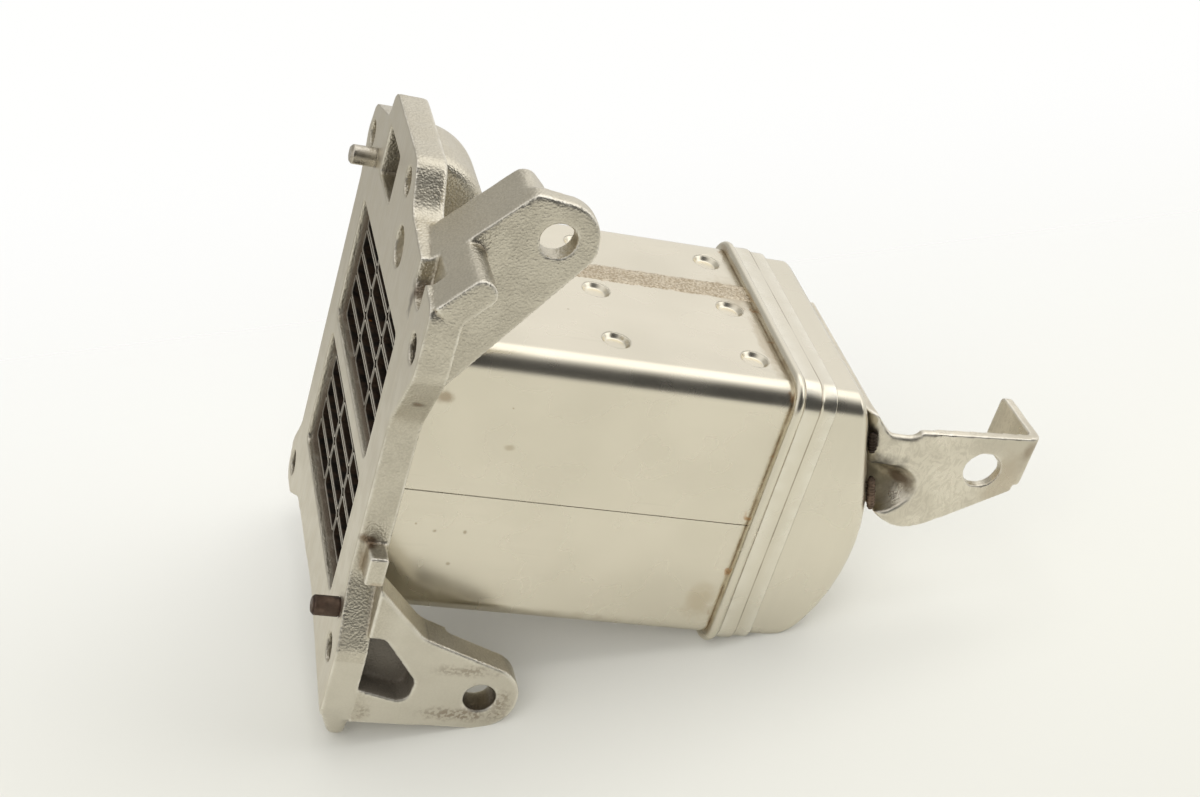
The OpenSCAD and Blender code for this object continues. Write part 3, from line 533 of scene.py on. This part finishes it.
# drawn sheet of the rim and the end cap
drawnLook = {
    "sheet": (0.775, 0.725, 0.61),
    "shade": (0.705, 0.66, 0.55),
    "cloud": (22.0, 0.35, 0.7),
    "drawing": ((1.0, 0.012, 0.012), 520.0),
    "drawingAmount": 0.8,
    "edge": (0.9, 0.87, 0.78),
    "edgeAmount": 0.5,
    "residue": (0.40, 0.29, 0.17),
    "grooveBand": ((118.2, 0, 0), (0.8, 400, 400), 0.8, 0.9),
    "grooveCloud": (130.0, 0.4, 0.7),
    "grooveAmount": 0.75,
    "specks": (120.0, 0.04, 0.25),
    "speckAmount": 0.5,
    "stepDirtAndShade": [  # dirt and painted shade at the rim's steps
        ((122.0, 0, 0), (0.45, 400, 400), (0.27, 0.22, 0.16), 0.75),
        ((127.4, 0, 0), (0.45, 400, 400), (0.27, 0.22, 0.16), 0.75),
        ((132.9, 0, 0), (0.45, 400, 400), (0.27, 0.22, 0.16), 0.75),
    ],
    "stepDirtAndShadeEdge": (0.8, 0.5),
    "stepDirtAndShadeCloud": (60.0, 0.2, 0.6),
    "weldHeat": [((158.0, -43.0, 16.0), (5.0, 6.0, 15.0), (0.30, 0.20, 0.12), 0.8)],
    "heatEdge": (0.9, 1.0),
    "roughCloud": (45.0, 0.3, 0.7),
    "roughness": (0.23, 0.29),
    "ripples": ((1.0, 0.05, 0.05), 300.0),
    "rippleStrength": 0.05,
    "rippleDepth": 0.2,
}


def makeDrawnSheet(look):
    material, tree, shader = startMaterial("drawnSheet")
    colour = blendColour(tree, patch(tree, *look["cloud"]), look["sheet"], look["shade"])
    colour = tint(tree, colour, lines(tree, *look["drawing"]), look["shade"], look["drawingAmount"])
    colour = tint(tree, colour, worn(tree, look["edgeAmount"]), look["edge"])
    groove = both(tree, spot(tree, *look["grooveBand"]), patch(tree, *look["grooveCloud"]))
    colour = tint(tree, colour, groove, look["residue"], look["grooveAmount"])
    colour = tint(tree, colour, specks(tree, *look["specks"]), look["residue"], look["speckAmount"])
    # dirt and painted shade in the rim's steps
    colour = stained(tree, colour, look["stepDirtAndShade"], *look["stepDirtAndShadeEdge"], patch(tree, *look["stepDirtAndShadeCloud"]))
    colour = stained(tree, colour, look["weldHeat"], *look["heatEdge"])
    join(tree, colour, shader.inputs["Base Color"])
    roughen(tree, shader, look["roughCloud"], look["roughness"])
    bump(tree, shader, lines(tree, *look["ripples"]), look["rippleStrength"], look["rippleDepth"])
    return material


# thick sheet of the bracket, burnt round its bend, with a painted shadow in the weld's groove and painted shade on
# the gusset's upper flank
bracketLook = {
    "sheet": (0.74, 0.69, 0.58),
    "shade": (0.58, 0.535, 0.44),
    "cloud": (60.0, 0.35, 0.7),
    "flow": ((1.0, 1.0, 0.6), 240.0, 3.5),  # stretch, scale, swirl
    "flowStep": (0.44, 0.6),
    "flowAmount": 0.6,
    "edge": (0.9, 0.86, 0.77),
    "edgeAmount": 0.8,
    "stainsAndShade": [
        ((159.5, -41.0, 12.0), (4.5, 6.0, 14.0), (0.26, 0.17, 0.10), 0.85),
        # painted shadow: near black in the groove between the end cap and the bend, by the weld
        ((157.5, -41.0, 21.0), (9.0, 8.0, 8.0), (0.03, 0.022, 0.016), 0.93),
        # painted shade: the upper flank of the pressed gusset darkened
        ((165.0, -38.0, 17.0), (10.5, 7.0, 5.2), (0.12, 0.08, 0.05), 0.9),
        ((198.0, -42.0, 22.0), (10.0, 5.0, 16.0), (0.47, 0.40, 0.30), 0.6),
        ((202.3, -41.9, 34.0), (3.0, 3.0, 6.0), (0.28, 0.21, 0.14), 0.55),
    ],
    "stainAndShadeEdge": (0.85, 1.0),
    "roughCloud": (110.0, 0.3, 0.7),
    "roughness": (0.26, 0.42),
    "flowStrength": 0.4,
    "flowDepth": 0.3,
}


def makeBracketSheet(look):
    material, tree, shader = startMaterial("bracketSheet")
    colour = blendColour(tree, patch(tree, *look["cloud"]), look["sheet"], look["shade"])
    flow = lines(tree, *look["flow"])
    colour = tint(tree, colour, ramp(tree, flow, *look["flowStep"]), look["shade"], look["flowAmount"])
    colour = tint(tree, colour, worn(tree, look["edgeAmount"]), look["edge"])
    colour = stained(tree, colour, look["stainsAndShade"], *look["stainAndShadeEdge"])
    join(tree, colour, shader.inputs["Base Color"])
    roughen(tree, shader, look["roughCloud"], look["roughness"])
    bump(tree, shader, flow, look["flowStrength"], look["flowDepth"])
    return material


# small pieces: clean and dull colour in patches, worn edges, fine grain
smallLook = {"cloudStep": (0.35, 0.65), "edgeAmount": 0.6, "roughCloud": (400.0, 0.3, 0.7), "grainDepth": 0.3}
smallLooks = {
    "pin_steel": {
        "name": "pinSteel", "metallic": 1.0, "cloudScale": 240.0,
        "clean": (0.50, 0.455, 0.38), "dull": (0.36, 0.32, 0.26), "edge": (0.7, 0.66, 0.58),
        "roughness": (0.25, 0.4), "grainScale": 1500.0, "grainStrength": 0.2,
    },
    "rusty_pin": {
        "name": "rustyPin", "metallic": 0.6, "cloudScale": 240.0,
        "clean": (0.022, 0.014, 0.011), "dull": (0.06, 0.034, 0.022), "edge": (0.16, 0.11, 0.08),
        "roughness": (0.4, 0.65), "grainScale": 900.0, "grainStrength": 0.7,
    },
    "tube_sheet": {
        "name": "tubeSheet", "metallic": 0.5, "cloudScale": 240.0,
        "clean": (0.06, 0.048, 0.038), "dull": (0.10, 0.075, 0.055), "edge": (0.2, 0.17, 0.14),
        "roughness": (0.5, 0.7), "grainScale": 900.0, "grainStrength": 0.4,
    },
    "sooty_tube": {
        "name": "sootyTube", "metallic": 0.7, "cloudScale": 240.0,
        "clean": (0.028, 0.024, 0.02), "dull": (0.085, 0.055, 0.036), "edge": (0.2, 0.18, 0.15),
        "roughness": (0.35, 0.6), "grainScale": 900.0, "grainStrength": 0.35,
        "rust": (0.36, 0.13, 0.03), "rustSpecks": (260.0, 0.16, 0.07), "rustAmount": 0.8,
        "end": (0.56, 0.52, 0.45), "endZone": [("X", 3.05, 3.35, "below")], "endAmount": 0.9,  # bare mouths with a painted highlight
    },
    "weld_bead": {
        "name": "weldBead", "metallic": 0.85, "cloudScale": 240.0,
        "clean": (0.22, 0.155, 0.11), "dull": (0.12, 0.085, 0.06), "edge": (0.40, 0.31, 0.24),
        "roughness": (0.3, 0.5), "grainScale": 900.0, "grainStrength": 0.4,
        "end": (0.03, 0.022, 0.016), "endAmount": 0.9,  # burnt top and the groove's painted shadow
        "endZone": [("Z", 14.0, 20.0, "above"), ("Y", -10.0, 0.0, "below")],
    },
    "braze": {
        "name": "brazeStrip", "metallic": 0.6, "cloudScale": 1300.0,
        "clean": (0.63, 0.555, 0.435), "dull": (0.40, 0.325, 0.225), "edge": (0.86, 0.785, 0.665),
        "roughness": (0.4, 0.65), "grainScale": 1600.0, "grainStrength": 1.0,
    },
}


def makeSmallMetal(look, shared):
    material, tree, shader = startMaterial(look["name"], look["metallic"])
    cloud = patch(tree, look["cloudScale"], *shared["cloudStep"])
    colour = blendColour(tree, cloud, look["clean"], look["dull"])
    colour = tint(tree, colour, worn(tree, shared["edgeAmount"]), look["edge"])
    if "rust" in look:
        colour = tint(tree, colour, specks(tree, *look["rustSpecks"]), look["rust"], look["rustAmount"])
    if "end" in look:
        colour = tint(tree, colour, zone(tree, look["endZone"]), look["end"], look["endAmount"])
    join(tree, colour, shader.inputs["Base Color"])
    roughen(tree, shader, shared["roughCloud"], look["roughness"])
    bump(tree, shader, grain(tree, look["grainScale"]), look["grainStrength"], shared["grainDepth"])
    return material


finishes = {
    "cast_steel": makeCastSteel(castLook),
    "shell_sheet": makeShellSheet(shellLook),
    "drawn_sheet": makeDrawnSheet(drawnLook),
    "bracket_sheet": makeBracketSheet(bracketLook),
}
for slotName, slotLook in smallLooks.items():
    finishes[slotName] = makeSmallMetal(slotLook, smallLook)
print("materials built")


# copies of CAD nodes with rounded edges
mergeReach = 2e-6  # m


def cadCopy(node):
    bm = bmesh.new()
    bm.from_mesh(frame["nodes"][node].data)
    bmesh.ops.remove_doubles(bm, verts=bm.verts, dist=mergeReach)
    bm.verts.layers.float.new("edgeWear")
    return bm


def sharpEdges(bm, degrees):
    limit = math.radians(degrees)
    return [e for e in bm.edges if len(e.link_faces) == 2 and e.calc_face_angle(0.0) > limit]


def roundEdges(bm, edges, width, segments, wear):
    result = bmesh.ops.bevel(
        bm, geom=edges, offset=width * mm, offset_type="OFFSET", segments=segments, profile=0.5,
        affect="EDGES", clamp_overlap=False, material=-1,
    )
    layer = bm.verts.layers.float["edgeWear"]
    for vert in result["verts"]:
        vert[layer] = wear


def finishPiece(bm, name, node, slot, smoothAngle):
    mesh = bpy.data.meshes.new(name)
    bm.to_mesh(mesh)
    bm.free()
    mesh.polygons.foreach_set("use_smooth", [True] * len(mesh.polygons))
    mesh.set_sharp_from_angle(angle=math.radians(smoothAngle))
    mesh.materials.append(finishes[slot])
    piece = bpy.data.objects.new(name, mesh)
    bpy.context.scene.collection.objects.link(piece)
    soften = piece.modifiers.new("evenNormals", "WEIGHTED_NORMAL")
    soften.keep_sharp = True
    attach(piece, "root")
    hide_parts(node)


# casting and bracket: soft shapes with worn ridges, and hollows marked for dirt and painted shade
flangeForm = {
    "grid": 0.55,  # mm
    "rounds": 5,
    "keep": 0.4,
    "smoothAngle": 180.0,
    "rounder": [  # low corner, high corner in mm, rounds
        ((2.5, -30.0, 68.0), (60.0, 40.0, 100.0), 22),
        ((22.0, -75.0, 84.0), (60.0, -35.0, 100.0), 14),
        ((1.0, -75.0, -90.0), (9.4, -50.0, -66.0), 26),
    ],
}
bracketForm = {
    "grid": 0.4,
    "rounds": 9,
    "keep": 0.6,
    "smoothAngle": 180.0,
    "rounder": [
        ((150.0, -60.0, 22.0), (170.0, -30.0, 45.0), 24),
        ((150.0, -60.0, 22.0), (165.0, -30.0, 45.0), 24),
        ((160.0, -50.0, 2.0), (182.0, -30.0, 24.0), 14),
    ],
}
smoothShare = 0.5
bendForm = {"least": 0.12, "span": 0.35, "tiny": 1e-12}  # bends per mm, least area in square metres


def shapeWith(bm, modifiers):
    source = bpy.data.meshes.new("sharpShape")
    bm.to_mesh(source)
    bm.free()
    carrier = bpy.data.objects.new("sharpShape", source)
    bpy.context.scene.collection.objects.link(carrier)
    for kind, settings in modifiers:
        modifier = carrier.modifiers.new(kind, kind)
        for name, value in settings.items():
            setattr(modifier, name, value)
    bpy.context.view_layer.update()
    shaped = bpy.data.meshes.new_from_object(carrier.evaluated_get(bpy.context.evaluated_depsgraph_get()))
    result = bmesh.new()
    result.from_mesh(shaped)
    bpy.data.objects.remove(carrier)
    bpy.data.meshes.remove(source)
    bpy.data.meshes.remove(shaped)
    return result


def markBends(bm, form):
    ridge = bm.verts.layers.float.new("edgeWear")
    hollow = bm.verts.layers.float.new("hollowDirtAndShade")
    for vert in bm.verts:
        area = sum(face.calc_area() for face in vert.link_faces) / 3
        turn = sum(edge.calc_face_angle_signed(0.0) * edge.calc_length() for edge in vert.link_edges)
        bend = turn / (4 * max(area, form["tiny"])) * mm  # mean curvature
        vert[ridge] = min(1.0, max(0.0, (bend - form["least"]) / form["span"]))
        vert[hollow] = min(1.0, max(0.0, (-bend - form["least"]) / form["span"]))


def softenShape(bm, form):
    soft = shapeWith(bm, [
        ("REMESH", {"mode": "VOXEL", "voxel_size": form["grid"] * mm}),
        ("SMOOTH", {"factor": smoothShare, "iterations": form["rounds"]}),
    ])
    for low, high, rounds in form["rounder"]:
        inside = [v for v in soft.verts if all(low[i] * mm < v.co[i] < high[i] * mm for i in range(3))]
        for turn in range(rounds):
            bmesh.ops.smooth_vert(
                soft, verts=inside, factor=smoothShare, use_axis_x=True, use_axis_y=True, use_axis_z=True,
            )
    return shapeWith(soft, [("DECIMATE", {"ratio": form["keep"]})])


def makeCast(node, name, slot, form):
    soft = softenShape(cadCopy(node), form)
    markBends(soft, bendForm)
    print(name, "has", len(soft.faces), "faces")
    finishPiece(soft, name, node, slot, form["smoothAngle"])


makeCast("flange", "castFlange", "cast_steel", flangeForm)
makeCast("rear_bracket", "rearBracket", "bracket_sheet", bracketForm)

# half shells with soft walls in their pressed dimples, sizes in mm
shellForm = {
    "top": 46.5,
    "depth": 1.5,
    "slack": 0.05,
    "flat": 0.5,  # faces that stay above this depth aren't pressed
    "places": [(x, y) for x in (109.9, 66.4) for y in (-29.2, 0.0, 29.2)],
    "reach": 6.0,
    "wall": [  # radius, depth
        (4.55, 0.04), (4.3, 0.2), (4.0, 0.52), (3.65, 0.98), (3.4, 1.28), (3.15, 1.45), (2.9, 1.5),
    ],
    "seam": -1.8,
    "seamSide": 45.4,
    "seamAngle": 30.0,
    "seamEdge": 0.3,
    "seamSegments": 2,
    "smoothAngle": 50.0,
}


def pressDimple(bm, center, side, form):
    lowest, highest = form["top"] - form["depth"] - form["slack"], form["top"] + form["slack"]

    def near(vert):
        return math.hypot(vert.co.x - center[0] * mm, vert.co.y - center[1] * mm) < form["reach"] * mm

    def height(vert):
        return vert.co.z * side / mm

    def inside(face):
        return all(near(v) and lowest < height(v) < highest for v in face.verts)

    pressed = [f for f in bm.faces if inside(f) and any(height(v) < form["top"] - form["flat"] for v in f.verts)]
    bmesh.ops.delete(bm, geom=pressed, context="FACES")
    ring = [e for e in bm.edges if e.is_boundary and all(near(v) for v in e.verts)]
    for radius, depth in form["wall"]:
        made = bmesh.ops.extrude_edge_only(bm, edges=ring)["geom"]
        for vert in (g for g in made if isinstance(g, bmesh.types.BMVert)):
            out = Vector((vert.co.x - center[0] * mm, vert.co.y - center[1] * mm)).normalized() * radius * mm
            vert.co = (center[0] * mm + out.x, center[1] * mm + out.y, side * (form["top"] - depth) * mm)
        ring = [g for g in made if isinstance(g, bmesh.types.BMEdge) and g.is_boundary]
    bmesh.ops.holes_fill(bm, edges=ring, sides=0)


def makeShell(node, name, side, form):
    bm = cadCopy(node)
    for center in form["places"]:
        pressDimple(bm, center, side, form)
    bmesh.ops.recalc_face_normals(bm, faces=bm.faces)

    def atSeam(vert):
        return abs(vert.co.z - form["seam"] * mm) < form["slack"] * mm and abs(vert.co.y) > form["seamSide"] * mm

    seam = [e for e in sharpEdges(bm, form["seamAngle"]) if all(atSeam(v) for v in e.verts)]
    roundEdges(bm, seam, form["seamEdge"], form["seamSegments"], 0.0)
    finishPiece(bm, name, node, "shell_sheet", form["smoothAngle"])


makeShell("shell_upper", "shellUpper", 1, shellForm)
makeShell("shell_lower", "shellLower", -1, shellForm)

# pieces that keep their CAD shape, with rounded edges in mm
copyForm = {"sharpAngle": 36.0, "smoothAngle": 50.0}
copyForms = {
    "rear_header": {"name": "rearRim", "slot": "drawn_sheet", "width": 0.45, "segments": 3},
    "end_cap": {"name": "endCap", "slot": "drawn_sheet", "width": 0.0, "segments": 0},
    "dowel_pin_upper": {"name": "upperPin", "slot": "pin_steel", "width": 0.2, "segments": 2},
    "dowel_pin_lower": {"name": "lowerPin", "slot": "rusty_pin", "width": 0.2, "segments": 2},
}


def makeSimpleCopy(node, form, shared):
    bm = cadCopy(node)
    if form["width"]:
        roundEdges(bm, sharpEdges(bm, shared["sharpAngle"]), form["width"], form["segments"], 1.0)
    finishPiece(bm, form["name"], node, form["slot"], shared["smoothAngle"])


for copyNode, copyValues in copyForms.items():
    makeSimpleCopy(copyNode, copyValues, copyForm)

# weld beads with ripples, sizes in mm
weldForm = {
    "radius": 1.3,
    "lean": 18.9,  # degrees
    "rings": 60,
    "sides": 20,
    "tip": 0.02,
    "blunt": 5,
    "ripple": 0.12,
    "pitch": 1.1,
    "sway": 2,
    "swayScale": 400,
    "lumps": 0.18,
    "lumpScale": 700,
    "smoothAngle": 60.0,
}


def makeWeld(node, name, form):
    low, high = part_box(node)
    center = (low + high) / 2
    lean = math.radians(form["lean"])
    length = (high.z - low.z) / math.cos(lean)
    bm = bmesh.new()
    bm.verts.layers.float.new("edgeWear")
    ring = bmesh.ops.create_circle(bm, cap_ends=False, segments=form["sides"], radius=form["radius"] * mm)
    edges = list({e for v in ring["verts"] for e in v.link_edges})
    bmesh.ops.spin(
        bm, geom=edges, cent=(0, 0, 0), axis=(0, 0, 1), dvec=(0, 0, length / form["rings"]), angle=0.0,
        steps=form["rings"],
    )
    for vert in bm.verts:
        along = vert.co.z / length * 2 - 1
        taper = math.sqrt(max(form["tip"], 1 - abs(along) ** form["blunt"]))
        sway = form["sway"] * noise.noise(vert.co * form["swayScale"])
        wave = math.sin(vert.co.z / (form["pitch"] * mm) * math.tau + sway)
        lumps = form["lumps"] * noise.noise(vert.co * form["lumpScale"])
        swell = taper * (1 + form["ripple"] * wave + lumps)
        vert.co.x *= swell
        vert.co.y *= swell
        vert.co.z -= length / 2
    bmesh.ops.holes_fill(bm, edges=[e for e in bm.edges if e.is_boundary], sides=0)
    bmesh.ops.recalc_face_normals(bm, faces=bm.faces)
    turn = Matrix.Rotation(-lean, 4, "Y")
    bmesh.ops.transform(bm, matrix=Matrix.Translation(center) @ turn, verts=bm.verts)
    finishPiece(bm, name, node, "weld_bead", form["smoothAngle"])


makeWeld("bracket_weld_lower", "weldLower", weldForm)
makeWeld("bracket_weld_upper", "weldUpper", weldForm)

# grainy strip of braze with a ragged border, sizes in mm
brazeForm = {
    "cells": (340, 44),
    "height": 0.55,
    "least": 0.25,
    "grain": 1.7,
    "grainShare": 0.5,
    "fineGrain": 2.3,
    "fineShare": 0.35,
    "ragged": 0.1,
    "raggedScales": (0.25, 0.9),
    "inset": 0.12,
    "border": 0.22,
    "sink": 0.1,
    "wearFrom": 0.6,
    "smoothAngle": 80.0,
}


def makeBraze(node, name, form):
    low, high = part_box(node)
    size = high - low
    bm = bmesh.new()
    layer = bm.verts.layers.float.new("edgeWear")
    bmesh.ops.create_grid(bm, x_segments=form["cells"][0], y_segments=form["cells"][1], size=0.5)
    for vert in bm.verts:
        across = vert.co.y * 2
        place = Vector((vert.co.x * size.x / mm, vert.co.y * size.y / mm, 0))
        wobble = sum(form["ragged"] * noise.noise(place * scale) for scale in form["raggedScales"])
        fall = min(1.0, max(0.0, (1 - abs(across) + wobble - form["inset"]) / form["border"]))
        lumps = form["grainShare"] * (1 + noise.noise(place * form["grain"]))
        lumps += form["fineShare"] * noise.noise(place * form["fineGrain"])
        height = fall * (form["least"] + (1 - form["least"]) * lumps) * form["height"] * mm
        vert[layer] = min(1.0, max(0.0, lumps - form["wearFrom"]))
        along = Vector(((vert.co.x + 0.5) * size.x, (vert.co.y + 0.5) * size.y, height - form["sink"] * mm))
        vert.co = low + along
    finishPiece(bm, name, node, "braze", form["smoothAngle"])


makeBraze("braze_strip", "brazeStrip", brazeForm)
for slotRow in frame["record"]["subparts"]:
    nodeObject = frame["nodes"][slotRow["node"]]
    nodeObject.data.materials.clear()
    nodeObject.data.materials.append(finishes[slotRow["material_slot"]])
print("pieces built")


# floor under the tilted rest, with painted shade towards the front, which fades out towards the backdrop
floorSetup = {
    "contact": (120.0, 0.0, -49.6),  # mm, under the rim
    "slope": 0.31,
    "size": 1.6,
    "colour": (0.78, 0.78, 0.735),
    "paintedFrontShade": (0.65, 0.65, 0.61),
    "colourStep": (-0.3, 0.05),  # metres along Y
    "backFade": (-0.10, 0.34),
    "frontFade": (-0.62, -0.3),
    "roundFade": (0.5, 1.1),  # metres from the middle
}


def makeFloor(setup):
    bm = bmesh.new()
    bmesh.ops.create_grid(bm, x_segments=2, y_segments=2, size=setup["size"])
    tilt = Matrix.Rotation(-math.atan(setup["slope"]), 4, "Y")
    bmesh.ops.transform(bm, matrix=Matrix.Translation(Vector(setup["contact"]) * mm) @ tilt, verts=bm.verts)
    mesh = bpy.data.meshes.new("studioFloor")
    bm.to_mesh(mesh)
    bm.free()
    floor = bpy.data.objects.new("studioFloor", mesh)
    bpy.context.scene.collection.objects.link(floor)
    material = bpy.data.materials.new("paleFloor")
    material.use_nodes = True
    tree = material.node_tree
    tree.nodes.clear()
    matt = addNode(tree, "ShaderNodeBsdfDiffuse")
    clear = addNode(tree, "ShaderNodeBsdfTransparent")
    sides = addNode(tree, "ShaderNodeNewGeometry")
    place = addNode(tree, "ShaderNodeTexCoord")
    parts = addNode(tree, "ShaderNodeSeparateXYZ")
    away = addNode(tree, "ShaderNodeVectorMath", operation="LENGTH")
    join(tree, place.outputs["Object"], parts.inputs[0])
    join(tree, place.outputs["Object"], away.inputs[0])
    # painted shade: the floor's colour darkens towards the front
    forward = ramp(tree, parts.outputs["Y"], *setup["colourStep"])
    join(tree, blendColour(tree, forward, setup["paintedFrontShade"], setup["colour"]), matt.inputs["Color"])
    fade = ramp(tree, parts.outputs["Y"], *setup["backFade"])
    fade = maths(tree, "MAXIMUM", fade, ramp(tree, away.outputs["Value"], *setup["roundFade"]))
    fade = maths(tree, "MAXIMUM", fade, ramp(tree, parts.outputs["Y"], *setup["frontFade"], 1.0, 0.0))
    hide = maths(tree, "MAXIMUM", fade, sides.outputs["Backfacing"])
    mix = addNode(tree, "ShaderNodeMixShader")
    out = addNode(tree, "ShaderNodeOutputMaterial")
    join(tree, hide, mix.inputs[0])
    join(tree, matt.outputs[0], mix.inputs[1])
    join(tree, clear.outputs[0], mix.inputs[2])
    join(tree, mix.outputs[0], out.inputs["Surface"])
    mesh.materials.append(material)


makeFloor(floorSetup)

# pale studio with a dark camera side, so that the bright metal has something to mirror
worldSetup = {
    "backdrop": (1.0, 1.0, 0.99, 1.0),
    "strength": 0.91,
    "sky": (1.06, 1.05, 1.025),
    "low": (0.62, 0.60, 0.53),
    "lowStep": (-0.4, 0.05),  # height of the direction
    "glow": (1.8, 1.79, 1.75),
    "zenith": (0.28, 0.30, 0.91),
    "zenithStep": (0.84, 0.97),  # nearness to the direction
    "dark": (0.075, 0.075, 0.075),
    "darkSide": (0.45, -0.89, 0.0),
    "darkStep": (0.0501, 0.6818),
    "darkRise": (-0.28, 0.1),
    "rightLamp": (0.76, -0.1, 0.63),
    "lampStep": (0.90, 0.97),
    "dim": (0.56, 0.55, 0.52),
    "dimSide": (-0.62, 0.72, 0.15),
    "dimStep": (0.55, 0.92),
}


def makeWorld(setup):
    world = bpy.data.worlds.new("studioWorld")
    bpy.context.scene.world = world
    world.use_nodes = True
    tree = world.node_tree
    tree.nodes.clear()
    place = addNode(tree, "ShaderNodeTexCoord").outputs["Object"]
    parts = addNode(tree, "ShaderNodeSeparateXYZ")
    join(tree, place, parts.inputs[0])
    rise = parts.outputs["Z"]

    def towards(side, step):
        facing = addNode(tree, "ShaderNodeVectorMath", operation="DOT_PRODUCT")
        facing.inputs[1].default_value = Vector(setup[side]).normalized()
        join(tree, place, facing.inputs[0])
        return ramp(tree, facing.outputs["Value"], *setup[step])

    sky = blendColour(tree, ramp(tree, rise, *setup["lowStep"], 1.0, 0.0), setup["sky"], setup["low"])
    sky = tint(tree, sky, towards("zenith", "zenithStep"), setup["glow"])
    shade = both(tree, ramp(tree, rise, *setup["darkRise"]), towards("darkSide", "darkStep"))
    sky = tint(tree, sky, shade, setup["dark"])
    sky = tint(tree, sky, towards("rightLamp", "lampStep"), setup["glow"])
    sky = tint(tree, sky, towards("dimSide", "dimStep"), setup["dim"])
    lit = addNode(tree, "ShaderNodeBackground", {"Strength": setup["strength"]})
    join(tree, sky, lit.inputs["Color"])
    white = addNode(tree, "ShaderNodeBackground", {"Color": setup["backdrop"], "Strength": 1.0})
    path = addNode(tree, "ShaderNodeLightPath")
    mix = addNode(tree, "ShaderNodeMixShader")
    out = addNode(tree, "ShaderNodeOutputWorld")
    join(tree, path.outputs["Is Camera Ray"], mix.inputs[0])
    join(tree, lit.outputs[0], mix.inputs[1])
    join(tree, white.outputs[0], mix.inputs[2])
    join(tree, mix.outputs[0], out.inputs["Surface"])


makeWorld(worldSetup)

lampColour = (1.0, 0.985, 0.96)
lightSetup = {  # metres and watts
    "overhead": {"at": (0.05, 0.1, 1.0), "aim": (0.05, 0.0, 0.0), "size": (1.0, 0.8), "power": 3.0},
    "frontFill": {"at": (-0.35, -0.95, 0.55), "aim": (0.08, 0.0, -0.06), "size": (1.2, 0.8), "power": 6.0},
}


def makeLight(name, setup):
    data = bpy.data.lights.new(name, "AREA")
    data.shape = "RECTANGLE"
    data.size, data.size_y = setup["size"]
    data.energy = setup["power"]
    data.color = lampColour
    light = bpy.data.objects.new(name, data)
    light.visible_glossy = False
    at, aim = Vector(setup["at"]), Vector(setup["aim"])
    light.matrix_world = Matrix.Translation(at) @ (aim - at).to_track_quat("-Z", "Y").to_matrix().to_4x4()
    bpy.context.scene.collection.objects.link(light)


for lightName, lightValues in lightSetup.items():
    makeLight(lightName, lightValues)
print("stage lit")

bpy.context.view_layer.update()
